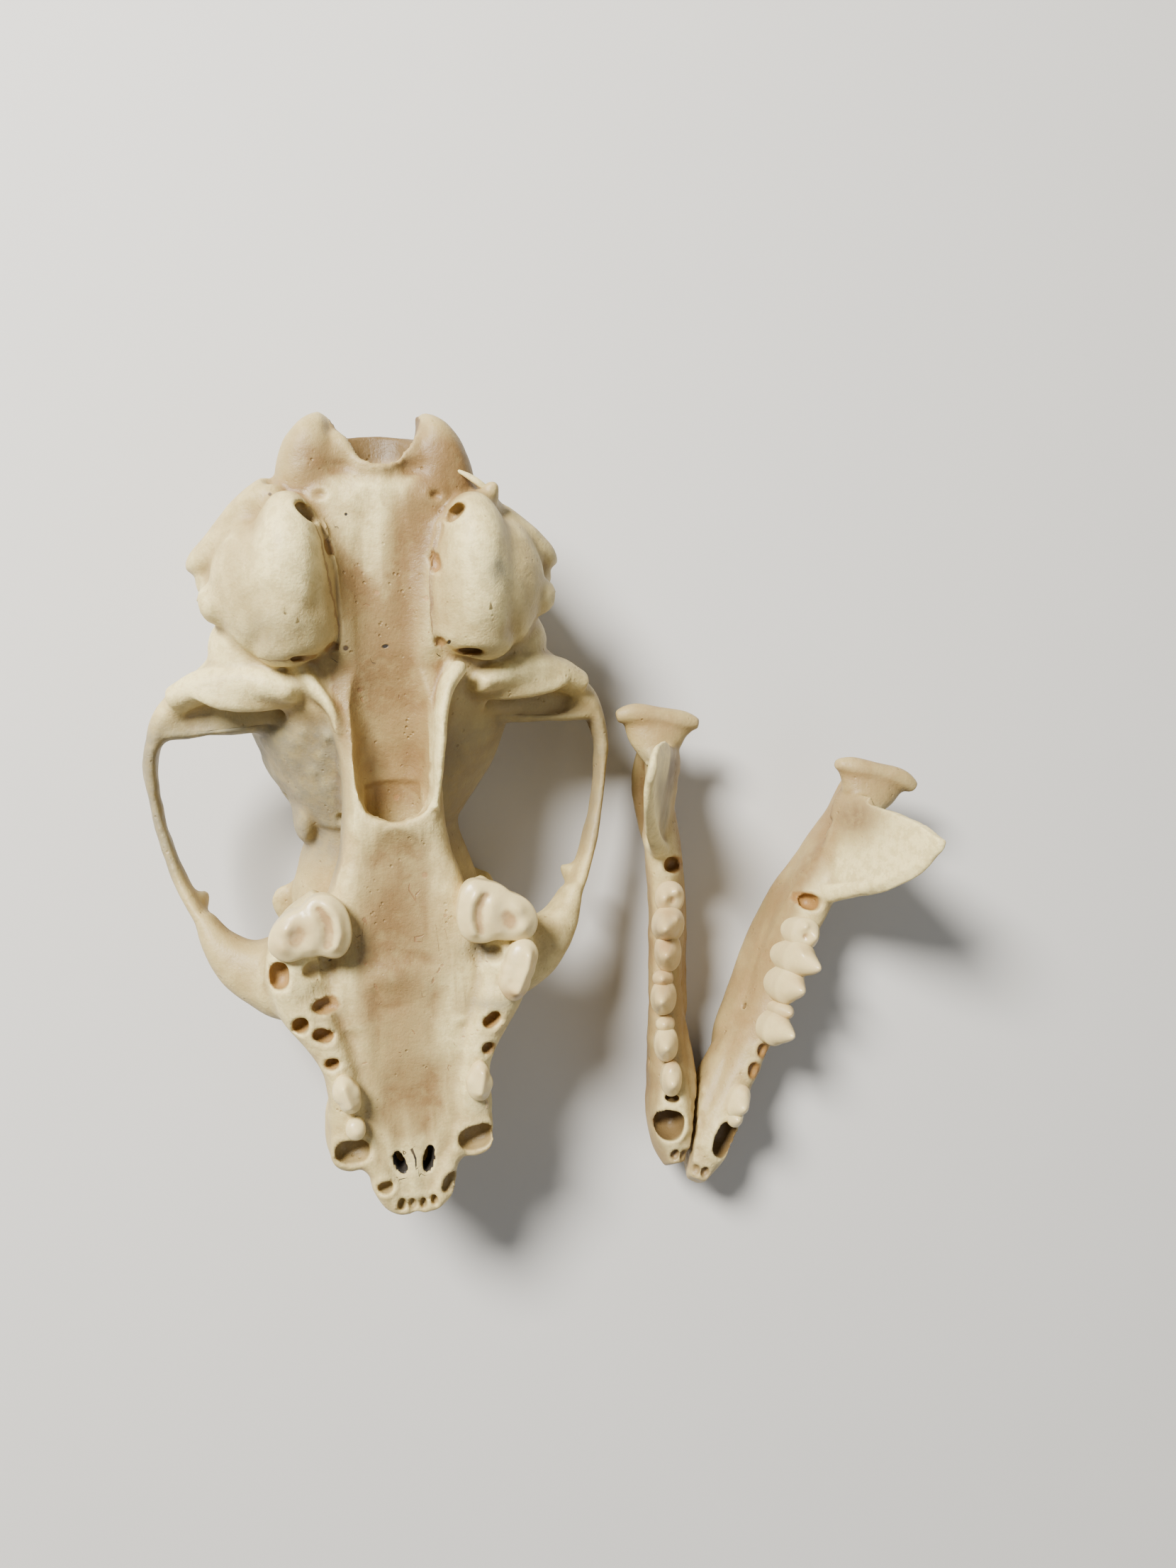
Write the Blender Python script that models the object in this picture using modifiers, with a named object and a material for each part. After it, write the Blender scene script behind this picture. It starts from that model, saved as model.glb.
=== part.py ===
"""Skull of a beech marten (Martes foina), life size, as three loose bones on a table.

The cranium lies on its roof with the palate up, rolled a little to one side, and the two halves of the
lower jaw stand on their lower edges beside it, still meeting at the chin. Each bone is drawn in its own
frame in millimetres (x across, y from the front teeth back, z away from the roof of the skull in the
cranium and up in the jaw), then scaled to metres and set down on the floor.
"""

import math

import bmesh
import bpy
import numpy as np
from mathutils import Matrix

MM = 0.001

# Driving sizes of the bones, in millimetres; the cranium is 80 mm from the front teeth to the condyles
ARCH_HALF_SPAN = 23.3
CASE_HALF_WIDTH = 16.6
CASE_ROOF = -25.5
PALATE_END = 41.0
JAW_LENGTH = 50.9
JAW_DRAWN = 49.5

# How the bones lie, in degrees and in millimetres on the floor
CRANIUM_TURN, CRANIUM_AT = (7.1, 6.0, 2.7), (-16.4, -44.05)
RIGHT_JAW_TURN, RIGHT_JAW_AT = (0.0, 1.0, -10.6), (13.1, -43.85)
LEFT_JAW_TURN, LEFT_JAW_AT = (0.0, 1.2, -10.4), (13.05, -45.25)
JAW_LEAN = 13.0

# Mesh sizes
VOXEL = 0.42
GAP = 0.3
CRANIUM_FACES = 6600
JAW_FACES = 1600

# Colour and roughness of each part's bone
CREAM, PALE, PEACH = (0.79, 0.68, 0.54, 1.0), (0.82, 0.75, 0.63, 1.0), (0.80, 0.66, 0.51, 1.0)
FINISHES = {
    "braincase": (CREAM, 0.55), "facial_skeleton": (CREAM, 0.55),
    "zygomatic_arch_left": (CREAM, 0.5), "zygomatic_arch_right": (CREAM, 0.5),
    "auditory_bulla_left": (PALE, 0.45), "auditory_bulla_right": (PALE, 0.45),
    "dentary_left": (PEACH, 0.5), "dentary_right": (PEACH, 0.5),
}


def cubic(rows, count):
    """Rows read evenly from a smooth cubic through the given ones, spaced by the distance between them."""
    rows = np.array(rows, float)
    steps = np.maximum(np.linalg.norm(np.diff(rows[:, :3], axis=0), axis=1), 1e-6)
    at = np.concatenate([[0.0], np.cumsum(steps)])
    slope = np.diff(rows, axis=0) / steps[:, None]
    ends = [slope[:1], (slope[:-1] * steps[1:, None] + slope[1:] * steps[:-1, None])
            / (steps[1:] + steps[:-1])[:, None], slope[-1:]]
    tangent = np.concatenate(ends) if len(rows) > 2 else np.concatenate([slope, slope])
    want = np.linspace(0.0, at[-1], count)
    i = np.clip(np.searchsorted(at, want, side="right") - 1, 0, len(rows) - 2)
    h = steps[i][:, None]
    t = ((want - at[i]) / steps[i])[:, None]
    return ((1 + 2 * t) * (1 - t) ** 2 * rows[i] + t * (1 - t) ** 2 * h * tangent[i]
            + t * t * (3 - 2 * t) * rows[i + 1] + t * t * (t - 1) * h * tangent[i + 1])


def rounded(angles, power):
    """Cosine and sine of the angles, raised so that a power of 2 is an ellipse and more is squarer."""
    c, s = np.cos(angles), np.sin(angles)
    return np.sign(c) * np.abs(c) ** (2 / power), np.sign(s) * np.abs(s) ** (2 / power)


def skin(name, rings):
    """A closed mesh object through rings of points, with a point in the middle of each end."""
    along, around, _ = rings.shape
    first, last = rings[0].mean(0), rings[-1].mean(0)
    points = np.concatenate([rings.reshape(-1, 3), [first, last]])
    i, j = np.meshgrid(np.arange(along - 1), np.arange(around), indexing="ij")
    k = (j + 1) % around
    quads = np.stack([i * around + j, i * around + k, (i + 1) * around + k, (i + 1) * around + j], -1)
    j = np.arange(around)
    k = (j + 1) % around
    low = np.stack([k, j, np.full(around, along * around)], -1)
    high = np.stack([j, k, np.full(around, along * around + 1)], -1)
    high[:, :2] += (along - 1) * around
    faces = quads.reshape(-1, 4).tolist() + low.tolist() + high.tolist()
    mesh = bpy.data.meshes.new(name)
    mesh.from_pydata(points.tolist(), [], faces)
    bm = bmesh.new()
    bm.from_mesh(mesh)
    bmesh.ops.recalc_face_normals(bm, faces=bm.faces)
    if bm.calc_volume(signed=True) < 0:
        bmesh.ops.reverse_faces(bm, faces=bm.faces)
    bm.to_mesh(mesh)
    bm.free()
    obj = bpy.data.objects.new(name, mesh)
    bpy.context.scene.collection.objects.link(obj)
    return obj


def tube(name, rows, side=(1, 0, 0), around=14, along=16, power=2.0):
    """A bar along the middle of its rows: x, y, z, half-width towards side and half-height across it."""
    rows = cubic(rows, along)
    tangent = np.gradient(rows[:, :3], axis=0)
    tangent /= np.linalg.norm(tangent, axis=1)[:, None]
    up = np.cross(tangent, np.array(side, float))
    up /= np.linalg.norm(up, axis=1)[:, None]
    across = np.cross(up, tangent)
    c, s = rounded(np.arange(around) * 2 * math.pi / around + 0.01, power)
    rings = (rows[:, None, :3] + across[:, None] * (c[None, :] * rows[:, 3, None])[..., None]
             + up[:, None] * (s[None, :] * rows[:, 4, None])[..., None])
    return skin(name, rings)


def case(name, rows, around=28, along=26):
    """A hull of upright sections: y, half-width, lower z, upper z, z of the widest level, and the squareness
    of its lower and upper halves. Lower is towards the roof of the skull."""
    rows = cubic([(0.0, r[0], 0.0, *r[1:]) for r in rows], along)
    y, half, low, high, wide, low_power, high_power = rows[:, [1, 3, 4, 5, 6, 7, 8]].T[:, :, None]
    angles = np.arange(around) * 2 * math.pi / around + 0.01
    c, s = np.cos(angles)[None, :], np.sin(angles)[None, :]
    power = np.where(s < 0, low_power, high_power)
    x = half * np.sign(c) * np.abs(c) ** (2 / power)
    z = wide + np.where(s < 0, wide - low, high - wide) * np.sign(s) * np.abs(s) ** (2 / power)
    return skin(name, np.stack([x, np.broadcast_to(y, x.shape), z], -1))


def egg(name, middle, half, turn=(0, 0, 0), around=20, along=12):
    """An ellipsoid with its half-sizes, turned by degrees about x, y and z."""
    t = np.linspace(0.06, math.pi - 0.06, along)[:, None]
    a = (np.arange(around) * 2 * math.pi / around)[None, :]
    ball = np.stack([np.sin(t) * np.cos(a), np.broadcast_to(np.cos(t), (along, around)), np.sin(t) * np.sin(a)], -1)
    turning = Matrix.Rotation(math.radians(turn[2]), 3, "Z") @ Matrix.Rotation(
        math.radians(turn[1]), 3, "Y") @ Matrix.Rotation(math.radians(turn[0]), 3, "X")
    return skin(name, (ball * np.array(half)) @ np.array(turning).T + np.array(middle))


def baked(obj):
    """The object with its modifiers applied to its mesh."""
    graph = bpy.context.evaluated_depsgraph_get()
    mesh = bpy.data.meshes.new_from_object(obj.evaluated_get(graph))
    obj.modifiers.clear()
    obj.data = mesh
    return obj


def boolean(obj, others, operation):
    """One Boolean of the object with a collection of closed pieces, which are then removed. The solver is
    MANIFOLD because EXACT takes minutes on skins this dense."""
    group = bpy.data.collections.new("operands")
    for other in others:
        group.objects.link(other)
    cut = obj.modifiers.new("join", "BOOLEAN")
    cut.operation, cut.solver = operation, "MANIFOLD"
    cut.operand_type, cut.collection = "COLLECTION", group
    baked(obj)
    for other in others:
        bpy.data.objects.remove(other)
    bpy.data.collections.remove(group)
    return obj


def softened(obj, voxel, rounds, faces=None):
    """The object as one even skin: voxels, then a light smoothing, then thinned to a number of triangles."""
    remesh = obj.modifiers.new("even", "REMESH")
    remesh.mode, remesh.voxel_size = "VOXEL", voxel
    smooth = obj.modifiers.new("soft", "SMOOTH")
    smooth.factor, smooth.iterations = 0.5, rounds
    baked(obj)
    if faces:
        triangles = sum(len(p.vertices) - 2 for p in obj.data.polygons)
        thin = obj.modifiers.new("thin", "DECIMATE")
        thin.ratio = faces / triangles
        baked(obj)
    return obj


def islands(obj):
    """The object's separate closed surfaces as objects, largest first."""
    bm = bmesh.new()
    bm.from_mesh(obj.data)
    left, found = set(bm.verts), []
    while left:
        stack, group = [left.pop()], set()
        while stack:
            vertex = stack.pop()
            group.add(vertex)
            for edge in vertex.link_edges:
                other = edge.other_vert(vertex)
                if other in left:
                    left.discard(other)
                    stack.append(other)
        found.append(group)
    pieces = []
    for group in found:
        part = bm.copy()
        part.verts.ensure_lookup_table()
        keep = {v.index for v in group}
        bmesh.ops.delete(part, geom=[v for v in part.verts if v.index not in keep], context="VERTS")
        mesh = bpy.data.meshes.new(obj.name)
        volume = part.calc_volume()
        part.to_mesh(mesh)
        part.free()
        piece = bpy.data.objects.new(obj.name, mesh)
        bpy.context.scene.collection.objects.link(piece)
        pieces.append((volume, piece))
    bm.free()
    bpy.data.objects.remove(obj)
    pieces.sort(key=lambda pair: -pair[0])
    return [piece for _, piece in pieces]


def mirrored_rows(rows):
    """The rows on the other side of the middle plane."""
    return [(-r[0], *r[1:]) for r in rows]


def pair(name, rows, **options):
    """The same bar on both sides."""
    return [tube(name, rows, **options), tube(name, mirrored_rows(rows), **options)]


def pair_of_eggs(name, middle, half, turn=(0, 0, 0), **options):
    """The same ellipsoid on both sides."""
    x, y, z = middle
    tx, ty, tz = turn
    return [egg(name, middle, half, turn, **options), egg(name, (-x, y, z), half, (tx, -ty, -tz), **options)]


def nose_and_palate():
    """Snout, frontal roof, the narrow walls between the orbits and the bone that carries the teeth."""
    snout = case("snout", [
        (0.6, 2.2, -4.4, -1.0, -2.6, 2.0, 2.6),
        (2.4, 3.4, -7.4, -0.8, -3.2, 2.0, 2.8),
        (4.8, 4.2, -10.4, -0.7, -4.6, 2.0, 3.0),
        (8.2, 6.2, -12.4, -0.7, -5.4, 2.1, 3.4),
        (12.0, 7.1, -13.9, -0.8, -6.0, 2.1, 3.6),
        (17.0, 7.6, -15.8, -0.8, -7.0, 2.1, 3.6),
        (22.0, 8.6, -18.0, -0.9, -9.0, 2.2, 3.0),
        (27.0, 9.6, -20.2, -1.0, -13.0, 2.3, 2.6),
        (31.0, 9.8, -21.2, -5.0, -15.0, 2.6, 2.2),
    ])
    forehead = case("forehead", [
        (24.0, 8.6, -18.6, -11.0, -14.5, 2.6, 2.0),
        (28.0, 10.0, -20.6, -10.5, -17.2, 3.4, 2.0),
        (31.0, 10.2, -21.4, -10.0, -18.0, 3.4, 2.0),
        (34.5, 9.2, -22.0, -9.5, -17.6, 2.8, 2.0),
        (38.5, 8.2, -22.6, -9.0, -16.8, 2.3, 2.0),
        (42.0, 10.4, -23.0, -8.0, -16.3, 2.2, 2.0),
        (46.5, 12.1, -23.5, -7.0, -15.8, 2.2, 2.0),
    ])
    keel = case("keel", [
        (20.0, 8.4, -13.0, -0.9, -6.0, 2.0, 4.0),
        (28.0, 8.2, -14.0, -1.0, -6.0, 2.0, 4.0),
        (33.0, 6.9, -13.5, -1.0, -6.0, 2.0, 4.0),
        (37.5, 5.4, -13.0, -1.0, -6.0, 2.0, 4.0),
        (42.0, 4.9, -12.5, -1.1, -5.5, 2.0, 4.0),
        (47.0, 5.2, -12.0, -1.3, -6.0, 2.0, 3.6),
        (51.5, 6.4, -11.0, -2.2, -7.0, 2.0, 2.8),
        (55.0, 8.6, -10.0, -3.2, -7.5, 2.0, 2.6),
    ])
    incisor_rows = pair("incisor_row", [
        (0.5, 0.9, -2.3, 1.5, 0.9), (1.9, 1.5, -2.2, 1.7, 1.15), (2.9, 3.3, -2.1, 1.9, 1.25),
        (3.3, 5.2, -2.3, 2.0, 1.2), (4.4, 7.0, -2.5, 2.0, 1.5)], along=16, side=(0, 0, 1), power=2.2)
    tooth_rows = pair("tooth_row", [
        (5.9, 7.4, -2.4, 2.2, 1.7), (6.2, 10.0, -2.3, 2.1, 1.95), (6.2, 13.0, -2.4, 2.1, 1.85),
        (6.7, 16.0, -2.4, 2.2, 1.7), (8.1, 19.4, -2.5, 2.4, 2.1), (9.6, 22.4, -2.6, 2.6, 2.6),
        (10.6, 26.5, -2.7, 2.7, 2.8), (10.2, 29.8, -3.0, 2.6, 2.3), (7.2, 33.2, -3.0, 2.2, 1.6),
    ], along=26, side=(0, 0, 1), power=2.3)
    fangs = pair("canine_root", [
        (6.15, 8.0, -0.6, 2.0, 2.3), (6.3, 8.3, -2.4, 2.05, 2.8), (6.2, 10.6, -7.2, 1.6, 1.9),
        (5.6, 12.8, -11.2, 0.8, 1.2)], power=2.2)
    horns = pair("brow", [
        (6.0, 29.0, -19.4, 1.9, 5.4), (9.0, 29.4, -19.5, 1.3, 4.0), (10.8, 30.0, -19.4, 0.9, 2.4),
        (12.1, 30.7, -19.0, 0.5, 0.9),
    ], side=(0, 0, 1), around=12, along=10)
    cheeks = pair("cheek", [
        (8.6, 24.4, -6.2, 4.8, 4.6), (12.4, 25.2, -6.4, 4.2, 4.0), (15.2, 26.2, -6.9, 3.3, 2.9),
        (17.4, 28.2, -7.8, 2.8, 1.8), (19.0, 31.0, -8.9, 2.4, 0.9),
    ], side=(0, 0, 1), power=2.4)
    hook_plate = tube("hook_plate", [
        (3.8, 41.8, -2.2, 1.6, 0.6), (4.2, 45.0, -1.6, 1.9, 0.5), (4.5, 48.0, -1.3, 2.0, 0.5),
        (4.8, 51.0, -1.3, 1.9, 0.55), (5.6, 53.6, -2.0, 1.7, 0.7), (7.0, 55.4, -3.0, 1.4, 0.9)],
        side=(0, 0, 1), around=12, along=16)
    waist = egg("waist", (-8.3, 40.2, -16.2), (1.4, 3.6, 4.6))
    return [snout, forehead, keel, waist, hook_plate, *incisor_rows, *tooth_rows, *fangs, *horns, *cheeks]


def brain_box():
    """The braincase with its crests, condyles, ear region and the roots of the cheek arches."""
    vault = case("vault", [
        (39.0, 8.2, -22.6, -8.0, -16.2, 2.1, 2.0),
        (44.5, 11.7, -23.3, -6.2, -15.2, 2.1, 2.2),
        (49.0, 13.4, -23.8, -4.8, -14.8, 2.1, 2.4),
        (55.0, 15.3, CASE_ROOF + 1.0, -3.4, -14.5, 2.1, 2.6),
        (60.0, CASE_HALF_WIDTH - 0.8, CASE_ROOF + 0.4, -2.8, -14.0, 2.1, 2.8),
        (65.0, 15.6, CASE_ROOF, -2.6, -14.0, 2.1, 2.8),
        (69.5, 12.9, CASE_ROOF + 0.7, -2.6, -13.5, 2.1, 2.8),
        (73.0, 10.2, CASE_ROOF + 1.8, -2.8, -13.5, 2.1, 2.6),
        (75.4, 8.4, CASE_ROOF + 2.9, -4.8, -14.0, 2.2, 2.2),
        (76.8, 6.2, CASE_ROOF + 3.8, -9.0, -16.0, 2.2, 2.0),
        (77.6, 3.6, CASE_ROOF + 4.8, -12.0, -17.5, 2.0, 2.0),
    ], around=32, along=34)
    condyles = pair("condyle", [
        (5.7, 71.6, -6.0, 3.8, 2.6), (6.1, 74.6, -6.6, 3.5, 3.6), (6.0, 77.2, -7.2, 2.4, 3.8),
        (5.3, 79.1, -7.6, 1.1, 2.6), (5.0, 80.0, -7.8, 0.4, 1.0)], power=2.2)
    condyle_rims = pair("condyle_rim", [
        (0.0, 74.3, -4.0, 1.3, 1.0), (2.2, 75.0, -4.4, 1.2, 1.1), (3.7, 76.9, -5.6, 0.9, 1.2),
        (4.6, 78.8, -6.9, 0.7, 1.3), (4.85, 79.7, -8.0, 0.4, 0.7)], side=(0, 0, 1), around=12, along=12)
    condyle_roots = pair_of_eggs("condyle_root", (4.2, 71.6, -5.4), (4.4, 3.6, 2.6))
    condyle_lips = pair_of_eggs("condyle_lip", (3.8, 75.4, -5.7), (2.5, 2.7, 2.3), (0, 0, -20))
    opisthion = tube("foramen_roof", [
        (-6.4, 76.2, -9.0, 1.5, 1.5), (-3.4, 77.2, -11.3, 1.2, 1.2), (0.0, 77.5, -12.0, 1.1, 1.1),
        (3.4, 77.2, -11.3, 1.2, 1.2), (6.4, 76.2, -9.0, 1.5, 1.5)], side=(0, 1, 0))
    nape = tube("nape_crest", [
        (-15.6, 66.2, -10.0, 1.1, 1.3), (-13.0, 69.8, -14.6, 1.0, 1.3), (-9.4, 73.4, -19.0, 0.9, 1.3),
        (-4.8, 76.4, -21.6, 0.9, 1.4), (0.0, 77.2, -22.5, 1.0, 1.5), (4.8, 76.4, -21.6, 0.9, 1.4),
        (9.4, 73.4, -19.0, 0.9, 1.3), (13.0, 69.8, -14.6, 1.0, 1.3), (15.6, 66.2, -10.0, 1.1, 1.3),
    ], side=(0, 0, 1), along=40, around=10)
    crest = tube("roof_crest", [
        (0.0, 40.0, -22.2, 0.7, 0.5), (0.0, 46.0, -23.1, 0.9, 0.8), (0.0, 54.0, -24.1, 1.0, 0.8),
        (0.0, 62.0, -25.1, 1.0, 0.8), (0.0, 70.0, -24.7, 0.9, 1.2), (0.0, 77.0, -22.6, 0.8, 1.6)],
        along=24, around=10)
    ears = pair_of_eggs("ear_region", (11.6, 64.6, -8.2), (5.0, 5.8, 5.4), (0, 0, 8))
    meatus = pair_of_eggs("ear_tube", (13.4, 61.9, -5.8), (4.3, 2.7, 3.4), (0, 0, 6))
    mastoids = pair("mastoid", [
        (11.6, 69.2, -6.2, 2.6, 2.4), (14.8, 67.4, -7.4, 2.6, 1.9), (17.2, 66.1, -8.8, 1.9, 1.2),
        (18.2, 65.6, -9.6, 0.8, 0.6)], side=(0, 0, 1), along=10)
    webs = pair_of_eggs("mastoid_web", (15.6, 64.2, -8.4), (2.1, 2.0, 2.2))
    back_shelves = [tube("back_shelf_left", [
        (14.4, 66.4, -8.4, 2.4, 2.1), (11.8, 69.2, -7.0, 2.8, 1.9), (9.2, 71.8, -5.2, 2.4, 2.0)], side=(0, 0, 1)),
        tube("back_shelf_right", [
            (-14.6, 66.8, -8.4, 2.4, 2.3), (-12.2, 70.0, -7.0, 2.8, 2.4), (-9.4, 72.2, -5.4, 2.4, 2.3)], side=(0, 0, 1))]
    spikes = [tube("ear_spike", [
        (9.8, 70.6, -4.6, 1.9, 1.8), (10.6, 72.0, -3.2, 1.1, 1.1), (11.1, 73.0, -2.4, 0.5, 0.5)],
        around=10, along=6), tube("ear_stump", [
            (-9.6, 70.8, -4.8, 1.9, 1.8), (-10.0, 72.0, -4.4, 1.4, 1.2), (-10.2, 73.0, -4.6, 0.7, 0.7)],
        around=10, along=6)]
    joint_roofs = pair("joint_roof", [
        (8.6, 52.6, -9.0, 2.6, 3.4), (14.6, 52.0, -9.8, 1.8, 3.2), (21.0, 51.2, -10.0, 1.3, 2.4)], side=(0, 0, 1))
    joint_backs = pair("joint_back", [
        (8.9, 53.3, -3.6, 1.2, 0.8), (10.4, 53.9, -5.0, 2.4, 1.5), (13.8, 54.6, -6.4, 2.5, 1.7),
        (17.6, 54.2, -7.6, 2.3, 1.7), (20.6, 52.9, -8.6, 1.9, 1.3)], side=(0, 0, 1))
    joint_slopes = pair_of_eggs("joint_slope", (12.8, 57.4, -8.6), (4.2, 4.2, 4.0), (0, 0, -14))
    joint_fronts = pair("joint_front", [
        (11.2, 50.4, -9.2, 1.4, 1.2), (16.0, 49.9, -9.2, 1.3, 1.0), (21.4, 49.8, -9.3, 1.4, 1.0)], side=(0, 0, 1))
    arch_shelves = pair("arch_shelf", [
        (12.6, 57.4, -9.8, 3.0, 2.8), (16.2, 54.6, -9.4, 2.4, 2.2), (20.0, 52.3, -9.4, 1.9, 1.7)], side=(0, 0, 1))
    return [vault, *condyles, *condyle_rims, *condyle_roots, *condyle_lips, opisthion, nape, crest, *ears, *meatus,
            *mastoids, *webs, *back_shelves, *spikes, *joint_roofs, *joint_backs, *joint_slopes, *joint_fronts, *arch_shelves]


ARCH = [
    (13.2, 25.4, -6.6, 3.2, 2.4), (15.9, 27.1, -7.4, 2.9, 1.4), (18.3, 29.6, -8.4, 2.5, 0.85),
    (20.3, 33.0, -9.8, 2.2, 0.7), (22.1, 38.0, -11.0, 2.0, 0.65), (ARCH_HALF_SPAN - 0.25, 43.2, -11.2, 2.0, 0.65),
    (23.0, 47.4, -10.6, 1.9, 0.8), (21.6, 50.8, -9.8, 1.9, 1.3), (18.8, 53.2, -9.6, 2.0, 1.8),
]


def cheek_arches():
    """The two cheek arches, each a thin upright plate bowed outwards, with the small spur of the orbit's rim."""
    bars = pair("arch", ARCH, side=(0, 0, 1), along=32, around=14)
    spurs = pair("spur", [
        (19.6, 31.8, -10.0, 1.6, 0.8), (19.2, 32.2, -11.5, 1.1, 0.6), (18.8, 32.6, -12.7, 0.5, 0.4)],
        side=(0, 1, 0), around=10, along=6)
    return [*bars, *spurs]


def bullae():
    """The two blown-out ear capsules, closer together in front, with the swelling that joins each to its ear."""
    domes = pair("bulla", [
        (8.3, 56.7, -5.0, 2.5, 2.4), (8.6, 57.8, -4.7, 3.8, 4.1), (8.9, 60.0, -4.2, 4.35, 5.0),
        (9.0, 62.5, -3.9, 4.45, 5.6), (9.1, 65.5, -3.8, 4.3, 6.0), (8.9, 68.0, -3.9, 3.6, 5.7),
        (8.6, 70.0, -4.2, 2.6, 4.5), (8.4, 71.3, -4.8, 1.2, 2.3)], around=24, along=24, power=2.05)
    flanks = pair_of_eggs("flank", (11.8, 63.4, -4.8), (4.5, 6.5, 5.3), (0, -12, -4))
    return [*domes, *flanks]


def hollows():
    """What is open in the cranium: nose, throat channel, hole of the spinal cord and the holes under the eyes."""
    nose = egg("nose", (0, 1.0, -6.9), (3.6, 6.6, 3.4), (26, 0, 0))
    throat = tube("throat", [
        (0, 31.0, -4.6, 2.2, 1.2), (0, 36.0, -4.5, 2.7, 1.7), (0, 44.0, -4.2, 3.0, 2.0)], power=2.6)
    channel = tube("channel", [
        (0, PALATE_END - 0.6, 0.4, 0.6, 3.0), (0, PALATE_END, 0.4, 2.3, 5.4), (0, PALATE_END + 1.4, 0.4, 3.3, 6.2),
        (0, 45.0, 0.4, 3.8, 6.3), (0, 49.0, 0.4, 4.0, 5.5), (0, 53.0, 0.4, 4.3, 4.75), (0, 57.0, 0.4, 4.4, 4.15),
        (0, 62.0, 0.4, 4.3, 3.65), (0, 68.0, 0.4, 4.4, 3.35), (0, 73.0, 0.4, 3.2, 3.1), (0, 75.6, 0.4, 1.8, 2.6)],
        power=3.2, along=30)
    broken_plate = tube("broken_plate", [
        (-4.8, 43.0, 0.6, 0.9, 1.2), (-4.8, 45.6, 0.4, 1.5, 2.2), (-5.2, 50.0, 0.4, 1.5, 2.4),
        (-5.4, 54.0, 0.4, 1.2, 1.6)])
    cord = egg("cord", (0, 80.2, -8.0), (4.4, 9.6, 3.9), (-6, 0, 0))
    notch = tube("notch", [
        (0.3, 74.2, -5.0, 0.3, 3.4), (0.4, 75.0, -5.0, 1.1, 3.8), (0.3, 76.4, -5.0, 2.4, 4.0), (0.3, 77.8, -5.0, 3.5, 4.0),
        (0.3, 79.2, -5.0, 4.2, 4.0), (0.3, 82.0, -5.0, 4.5, 4.0)], power=4.0, around=16)
    under_eye = pair("under_eye", [
        (13.2, 15.5, -6.4, 1.2, 1.8), (10.4, 20.6, -7.0, 1.1, 1.6), (10.8, 31.0, -8.8, 1.3, 1.8)])
    joints = pair("jaw_joint", [
        (9.6, 52.2, -7.2, 0.8, 0.7), (12.0, 52.0, -7.7, 1.5, 1.15), (16.0, 51.8, -8.1, 1.5, 1.15),
        (19.4, 51.0, -8.4, 0.9, 0.8)], side=(0, 0, 1))
    tooth_gaps = pair("tooth_gap", [
        (6.0, 26.5, 0.6, 1.2, 0.9), (7.4, 26.7, 0.5, 1.9, 1.2), (8.8, 26.8, 0.5, 1.9, 1.1), (9.6, 26.9, 0.6, 1.1, 0.8)],
        side=(0, 0, 1))
    return [nose, throat, channel, broken_plate, cord, notch, *under_eye, *joints, *tooth_gaps]


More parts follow.
